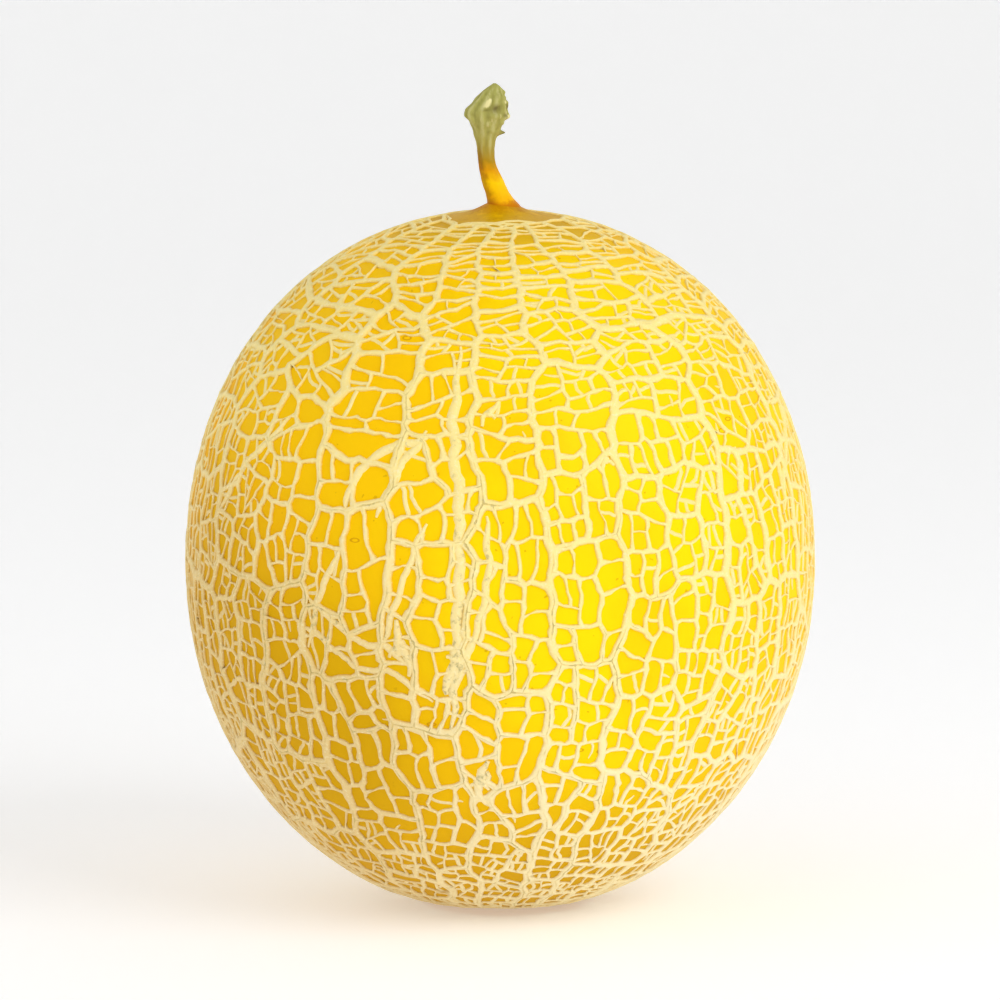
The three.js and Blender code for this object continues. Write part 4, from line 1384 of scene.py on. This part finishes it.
def sweep_lines(tree):
    curve = tree.wire("GeometryNodeMeshToCurve", inputs={"Mesh": tree.input("Geometry")})
    radius = tree.wire("GeometryNodeInputNamedAttribute", {"data_type": "FLOAT"}, {0: "thickness"})
    ring = tree.wire("GeometryNodeCurvePrimitiveCircle", inputs={
        "Resolution": tree.input("Sides"), "Radius": 1.0})
    tube = tree.wire("GeometryNodeCurveToMesh", inputs={
        "Curve": curve, "Profile Curve": ring, "Scale": radius, "Fill Caps": True})
    for label in ("profile", "ridge"):
        tube = tree.wire("GeometryNodeStoreNamedAttribute", {"data_type": "FLOAT"}, {
            "Geometry": tube, "Name": label, "Value": tree.input(label)})
    tree.end(tree.wire("GeometryNodeSetShadeSmooth", inputs={"Geometry": tube}))


THREAD_FINISH = (0.8, 0.0)        # what the cork's finish takes for profile and ridge width
SCAR_FINISH = (0.88, 1.7)


def swept(name, lines, sides, finish):
    """One plain mesh of tubes; its tree's inputs are the tubes' sides and their finish."""
    profile, ridge = finish
    tree = Growth(name + "_growth", [
        ("Sides", "Int", sides), ("profile", "Float", profile), ("ridge", "Float", ridge),
        ("Material", "Material", thin_cork)])
    sweep_lines(tree)
    return tree.grow(name, line_mesh(name + "_lines", lines))


thread_lines = find_threads(net) + find_collar_threads(net)
threads = swept("net_threads", thread_lines, THREAD_SIDES, THREAD_FINISH)
scar_lines = find_late_ridges(NET_SEED) + find_scars(NET_SEED + 1)
scars = swept("net_scars", scar_lines, SCAR_SIDES, SCAR_FINISH)
print("threads:", len(thread_lines), "late ridges and scars' arms:", len(scar_lines))

# %% [markdown]
# ## The stem
#
# The stem is what is left of the vine: a waist that flares into the fruit's collar below, and
# above it a knotty head with a slanted cut, where the vine was clipped on both sides. It is
# lofted through sections that are measured from its foot. Ribs run up it and spread over the
# head, and a few knobs stand where tendrils broke off. The foot is golden like the skin, and the
# head is dry olive green.

# %% The stem's sizes
STEM_SECTIONS = [                 # height, left edge, right edge, half its depth
    (-0.6, -3.3, 5.0, 3.9), (0.0, -3.1, 4.5, 3.7), (0.7, -3.1, 3.8, 3.4), (1.6, -3.2, 3.0, 3.1),
    (2.8, -3.5, 2.1, 2.9), (4.2, -4.0, 1.4, 2.7), (6.0, -4.5, 0.6, 2.5), (8.0, -4.9, -0.4, 2.2),
    (9.6, -5.1, -1.1, 2.1), (11.4, -5.3, -1.4, 2.1), (13.2, -5.5, -1.4, 2.1),
    (14.9, -5.7, -1.2, 2.2), (16.1, -6.0, -0.8, 2.4), (17.3, -6.3, -0.3, 2.6),
    (18.5, -6.7, 0.0, 2.9), (19.7, -7.2, 0.5, 3.1), (20.6, -7.8, 0.9, 3.3),
    (21.5, -8.3, 1.3, 3.3), (22.4, -8.2, 1.3, 3.2), (23.3, -7.4, 1.3, 3.0),
    (24.4, -6.4, 1.2, 2.7), (25.4, -5.5, 1.1, 2.3), (26.4, -4.6, 0.9, 1.9),
    (27.2, -3.6, 0.5, 1.5), (27.9, -2.8, 0.1, 1.1), (28.4, -2.1, -0.5, 0.6),
    (28.7, -1.6, -1.1, 0.2)]
STEM_TOP = STEM_SECTIONS[-1][0]
STEM_SINK = 0.32                  # the foot goes a little deeper than the solid one
STEM_RINGS = 150
STEM_TURNS = 96
STEM_SMOOTHINGS = 6
NECK_RIBS = 7
HEAD_RIBS = 11
RIB_HEIGHT = (0.03, 0.02)         # as a share of the stem's half width, and more on the head
ROUGHNESS_SHARE = 0.02            # and the same for its slow unevenness
NECK_ROUGHNESS = 0.3              # against 1.3 on the head
KNOBS = [                         # height, turn from the right, reach up and round, how far out
    (22.6, 0, 1.3, 16, 0.5), (20.7, -8, 0.8, 20, 1.3), (19.6, -34, 0.8, 15, 0.8),
    (17.0, 2, 0.5, 15, 1.5), (24.3, 6, 0.6, 14, 0.5), (22.1, -24, 0.5, 9, 0.45),
    (24.2, -92, 1.0, 8, 0.45), (22.7, -62, 0.9, 17, -0.75), (21.3, -74, 0.7, 12, 0.4),
    (21.0, -100, 0.8, 9, 0.35), (20.9, -50, 0.6, 9, 0.35), (19.1, -86, 0.5, 16, 0.35),
    (21.4, 178, 0.8, 14, 0.3), (18.2, 95, 0.9, 20, 0.9), (22.8, 120, 1.1, 22, 0.7),
    (24.4, 70, 0.9, 20, -0.5), (20.2, -140, 1.2, 12, 0.4)]
# Pale spots on the head.
PALE_SPOTS = [                     # and last here, how pale
    (24.2, -92, 1.15, 12, 1), (21.9, -22, 0.5, 9, 0.9), (20.7, -8, 0.7, 12, 1),
    (24.3, -16, 0.5, 8, 0.8), (19.3, -86, 0.9, 15, 0.45), (21.0, -48, 0.8, 4, 0.5),
    (20.6, -70, 1.0, 4, 0.45), (20.8, -105, 1.0, 4, 0.45)]
PAINTED_STEM_SHADOWS = [                  # and how dark, as painted shadow in hollows and under knobs
    (22.9, -62, 0.9, 14, 1), (19.5, -2, 0.5, 20, 1), (17.1, 3, 0.7, 13, 1),
    (22.6, -90, 0.3, 9, 0.7), (23.2, -6, 0.6, 8, 1), (21.3, -33, 0.5, 7, 0.8)]
LUMP_ROUNDS = 5
LUMP_HEIGHT = 0.13
HEAD_START = (13, 20)             # the head sets in between these heights
NECK_RIB_START = (1, 7)
HEAD_RIB_END = (STEM_TOP, 26)     # and its ribs end between these
HEAD_LUMP_END = (STEM_TOP, 27)
HEAD_SQUARE = 0.1                 # how much the head is squared off


# %% Build the stem
def around(turn, middle, reach):
    """A soft bump round the stem: 1 at the middle, and its reach is in degrees."""
    off = (turn - middle + 180) % 360 - 180
    return np.exp(-(off / reach) ** 2)


def spots(total, table, up, turn, power=2):
    """Adds each of the table's spots to what is there."""
    for height, at, reach_up, reach_round, share in table:
        fading = np.exp(-((up - height) / reach_up) ** power)
        total = total + share * fading * around(turn, at, reach_round)
    return total


def tube_faces(rings, turns):
    """The sides of a tube of points, ring by ring, and a face at each end."""
    faces = []
    for low in range(0, (rings - 1) * turns, turns):
        for k in range(turns):
            after = (k + 1) % turns
            faces.append((low + k, low + after, low + turns + after, low + turns + k))
    faces.append(tuple(range(turns))[::-1])
    faces.append(tuple(range((rings - 1) * turns, rings * turns)))
    return faces


def build_stem(foot_height):
    heights = np.linspace(STEM_SECTIONS[0][0], STEM_SECTIONS[-1][0], STEM_RINGS)
    table = np.array(STEM_SECTIONS)
    columns = np.array([np.interp(heights, table[:, 0], table[:, k]) for k in (1, 2, 3)])
    for _ in range(STEM_SMOOTHINGS):
        columns[:, 1:-1] = (columns[:, :-2] + 2 * columns[:, 1:-1] + columns[:, 2:]) / 4
    left, right, depth = columns[:, :, None]
    up = heights[:, None]
    turn = np.arange(STEM_TURNS)[None, :] * 360 / STEM_TURNS
    angle = np.radians(turn)
    head = smooth(*HEAD_START, up)
    neck_ribs = np.cos(NECK_RIBS * angle + 0.05 * up + 0.6) * (1 - head)
    head_ribs = np.cos(HEAD_RIBS * angle + 1.1 * np.sin(2 * angle) + 0.4) * head
    ribs = neck_ribs * smooth(*NECK_RIB_START, up) + head_ribs * smooth(*HEAD_RIB_END, up)
    rough = np.sin(5 * angle + 1.7 * up) * np.sin(1.3 * up + 2 * np.sin(3 * angle))
    swell = 1 + ribs * pick(RIB_HEIGHT, head) + rough * ROUGHNESS_SHARE * (NECK_ROUGHNESS + head)
    knotty = head * smooth(*HEAD_LUMP_END, up) * (0.45 + 0.9 * around(turn, -20, 50)) + 0.15
    bumps = LUMP_HEIGHT * knotty * lumps(swell.shape, LUMP_ROUNDS, NET_SEED)
    bumps = spots(bumps, KNOBS, up, turn)
    square = 1 + HEAD_SQUARE * head * np.abs(np.sin(2 * angle)) ** 2
    half = (right - left) / 2
    x = (left + right) / 2 + (half * swell * square + bumps) * np.cos(angle)
    y = (depth * swell * square + bumps) * np.sin(angle)
    places = np.stack([x, y, up + foot_height + 0 * angle], -1).reshape(-1, 3)
    faces = tube_faces(STEM_RINGS, STEM_TURNS)
    pale = spots(0 * angle, PALE_SPOTS, up, turn, 4)
    # Painted shadow: darker in the head's hollows and under its knobs.
    hollow = spots(0 * angle, PAINTED_STEM_SHADOWS, up, turn)
    mesh = bpy.data.meshes.new("stem")
    mesh.from_pydata((places * MM).tolist(), [], faces)
    mesh.polygons.foreach_set("use_smooth", [True] * (len(faces) - 2) + [False] * 2)
    number_attribute(mesh, "height", (up + 0 * angle).ravel())
    number_attribute(mesh, "rib", (0.5 + 0.5 * ribs).ravel())
    number_attribute(mesh, "left", (0.5 - 0.5 * np.cos(angle) + 0 * up).ravel())
    number_attribute(mesh, "pale", np.clip(pale, 0, 1).ravel())
    number_attribute(mesh, "hollow", np.clip(hollow, 0, 1).ravel())
    print("stem:", triangles_of(mesh), "triangles")
    return mesh


# %% The stem's material
STEM_LEFT_SHADE = paint(150, 88, 0)    # painted shade, low on the left
STEM_RIB_LIGHT_AND_STREAK = paint(205, 200, 140)  # along the dry head's ribs: partly pale streaks, partly painted light
STEM_RIB_SHADE_AND_STREAK = paint(112, 110, 50)   # and between them: partly dark streaks, partly painted shade
# Painted shadow in the head's hollows and under its knobs.
STEM_SHADOW_COLOUR = paint(88, 74, 30)
STEM_SPOT_COLOUR = paint(240, 230, 168)
STREAK_STRETCH = (1, 1, 0.16)     # streaks run up the stem
DRY_FROM = (10, 16)               # the golden foot turns dry between these heights
BLOTCH_REACH = 3                  # how far up or down its colours stray
STEM_COLOURS = [                  # height, colour
    (-0.6, paint(205, 125, 0)), (0.4, paint(212, 132, 0)), (1.4, paint(250, 186, 0)),
    (5.5, paint(255, 206, 0)), (8.0, paint(224, 156, 2)), (10.5, paint(176, 138, 26)),
    (13.0, paint(172, 150, 60)), (16.5, paint(174, 166, 90)), (STEM_TOP, paint(166, 164, 88))]


def stem_material():
    shader = Shader("green_stem")
    height = shader.attribute("height")
    streaks = shader.noise("streaks", shader.vector("MULTIPLY", shader.place, STREAK_STRETCH))
    blotches = shader.noise("blotches")
    share = (height + (blotches - 0.5) * BLOTCH_REACH) / STEM_TOP
    ramp = shader.wire("ShaderNodeValToRGB", {
        "stops": [(max(at, 0) / STEM_TOP, colour) for at, colour in STEM_COLOURS]}, {0: share})
    rib = shader.attribute("rib")
    dry = height.rise(*DRY_FROM)
    # Painted shade: the foot is browner on its left side, away from the key lamp.
    left = (shader.attribute("left") + (blotches - 0.5) * 0.6).rise(0.55, 0.95) * (1 - dry)
    # On the head: partly pale and dark streaks, partly painted light on the ribs and painted shade
    # between them.
    rib_light_and_streaks = (rib * 0.45 + streaks * 0.9).rise(0.66, 0.95) * dry
    rib_shade_and_streaks = (1.2 - rib * 0.5 - streaks * 0.8).rise(0.55, 1.0) * dry
    # Pale spots on the head, broken up by the streaks.
    cut = (shader.attribute("pale") + (streaks - 0.5) * 0.7).rise(0.25, 0.8)
    base = shader.mix(left * 0.55, ramp, STEM_LEFT_SHADE)
    base = shader.mix(rib_light_and_streaks * 0.5, base, STEM_RIB_LIGHT_AND_STREAK)
    base = shader.mix(rib_shade_and_streaks * 0.5, base, STEM_RIB_SHADE_AND_STREAK)
    # Painted shadow in the hollows and under the knobs.
    base = shader.mix(shader.attribute("hollow") * 0.8, base, STEM_SHADOW_COLOUR)
    base = shader.mix(cut * 0.85, base, STEM_SPOT_COLOUR)
    return shader.finish(
        Base_Color=base, Roughness=0.45 + dry * 0.2, Specular_IOR_Level=WAXY_SHINE,
        Normal=shader.bump(streaks + blotches * 0.6, 0.6, 0.25))


stem_mesh = build_stem(stem_low.z / MM - STEM_SINK)
stem_mesh.materials.append(stem_material())
stem = put("green_stem", stem_mesh)

# %% [markdown]
# ## Studio
#
# The fruit stands on a pale floor that curves up into a wall all round it, so it looks the same
# from every side. The floor and wall glow a little, as white paper does in a bright room. A
# large soft lamp shines from the front on the right, above the fruit, and a wider, weaker one
# fills from above on the left. The camera stands a little above the fruit's middle, far
# enough off that the fruit keeps its shape.

# %% Stage
STAGE_PROFILE = [                 # distance from the middle and height, in metres
    (0, 0), (0.6, 0), (1.9, 0), (2.4, 0.06), (2.8, 0.25), (3.1, 0.6), (3.25, 1.2), (3.3, 3.5)]
STAGE_TURNS = 96
PAPER_COLOUR = (0.86, 0.86, 0.86, 1)
PAPER_GLOW = 0.3
WHITE = (1, 1, 1, 1)


def build_stage():
    points = [(0, 0, 0)]
    for reach, height in STAGE_PROFILE[1:]:
        for k in range(STAGE_TURNS):
            angle = 2 * math.pi * k / STAGE_TURNS
            points.append((reach * math.cos(angle), reach * math.sin(angle), height))
    faces = []
    for k in range(STAGE_TURNS):
        after = (k + 1) % STAGE_TURNS
        faces.append((0, 1 + k, 1 + after))
        for ring in range(len(STAGE_PROFILE) - 2):
            low, high = 1 + ring * STAGE_TURNS, 1 + (ring + 1) * STAGE_TURNS
            faces.append((low + k, high + k, high + after, low + after))
    mesh = bpy.data.meshes.new("stage")
    mesh.from_pydata(points, [], faces)
    mesh.polygons.foreach_set("use_smooth", [True] * len(faces))
    return mesh


stage = put("stage", build_stage())
stage.data.materials.append(Shader("white_paper").finish(
    Base_Color=PAPER_COLOUR, Roughness=0.9, Emission_Color=WHITE, Emission_Strength=PAPER_GLOW))

# %% Lights
FRUIT_CENTRE = Vector((0, 0, REST_DROP * MM))
LIGHTS = [                        # name, direction from the fruit, size in metres, watts
    ("key", (0.72, -0.7, 0.7), 0.8, 4.35), ("fill", (-0.5, -0.4, 1.1), 1.2, 1.2)]
LIGHT_DISTANCE = 1.15
ROOM_LIGHT = 0.33                 # from all sides


def aim(thing, target):
    thing.rotation_euler = (target - thing.location).to_track_quat("-Z", "Y").to_euler()


for name, direction, size, power in LIGHTS:
    data = bpy.data.lights.new(name, "AREA")
    data.shape = "DISK"
    data.size = size
    data.energy = power
    lamp = put(name, data)
    lamp.location = FRUIT_CENTRE + Vector(direction).normalized() * LIGHT_DISTANCE
    aim(lamp, FRUIT_CENTRE)
    lamp.visible_camera = False

world = bpy.data.worlds.new("studio")
world.use_nodes = True
background = world.node_tree.nodes["Background"].inputs
background["Color"].default_value = WHITE
background["Strength"].default_value = ROOM_LIGHT
bpy.context.scene.world = world
bpy.context.scene.view_settings.view_transform = "Standard"

# %% Camera
CAMERA_DISTANCE = 1.8
CAMERA_ELEVATION = 8              # degrees above level
FRAME_WIDTH = 0.2373              # what the picture spans at the fruit's centre, in metres
SENSOR_WIDTH = 36
AIM_POINT = Vector((-0.00007, 0, 0.0962))

camera_data = bpy.data.cameras.new("camera")
camera_data.sensor_width = SENSOR_WIDTH
camera_data.lens = SENSOR_WIDTH * CAMERA_DISTANCE / FRAME_WIDTH
camera = put("camera", camera_data)
elevation = math.radians(CAMERA_ELEVATION)
camera.location = AIM_POINT + CAMERA_DISTANCE * Vector(
    (0, -math.cos(elevation), math.sin(elevation)))
aim(camera, AIM_POINT)
bpy.context.scene.camera = camera
print("camera:", tuple(round(value, 3) for value in camera.location))

# %% [markdown]
# ## Hand the pieces over
#
# The fruit is one rigid body. The finer skin, net and stem stand in for the solids of the same
# parts, and the threads and scars belong to the net.

# %% Ride and replace, with each piece's finish listed
net_mesh.materials.append(cork)
PIECES = [                        # the piece, the node it stands in for, its finish
    (skin, "fruit", "golden_skin"), (cork_net, "net", "cork_net"),
    (stem, "stem", "green_stem"), (threads, None, "cork_net"), (scars, None, "cork_net")]

for piece, node, finish in PIECES:
    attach(piece, "root")
    if node:
        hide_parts(node)
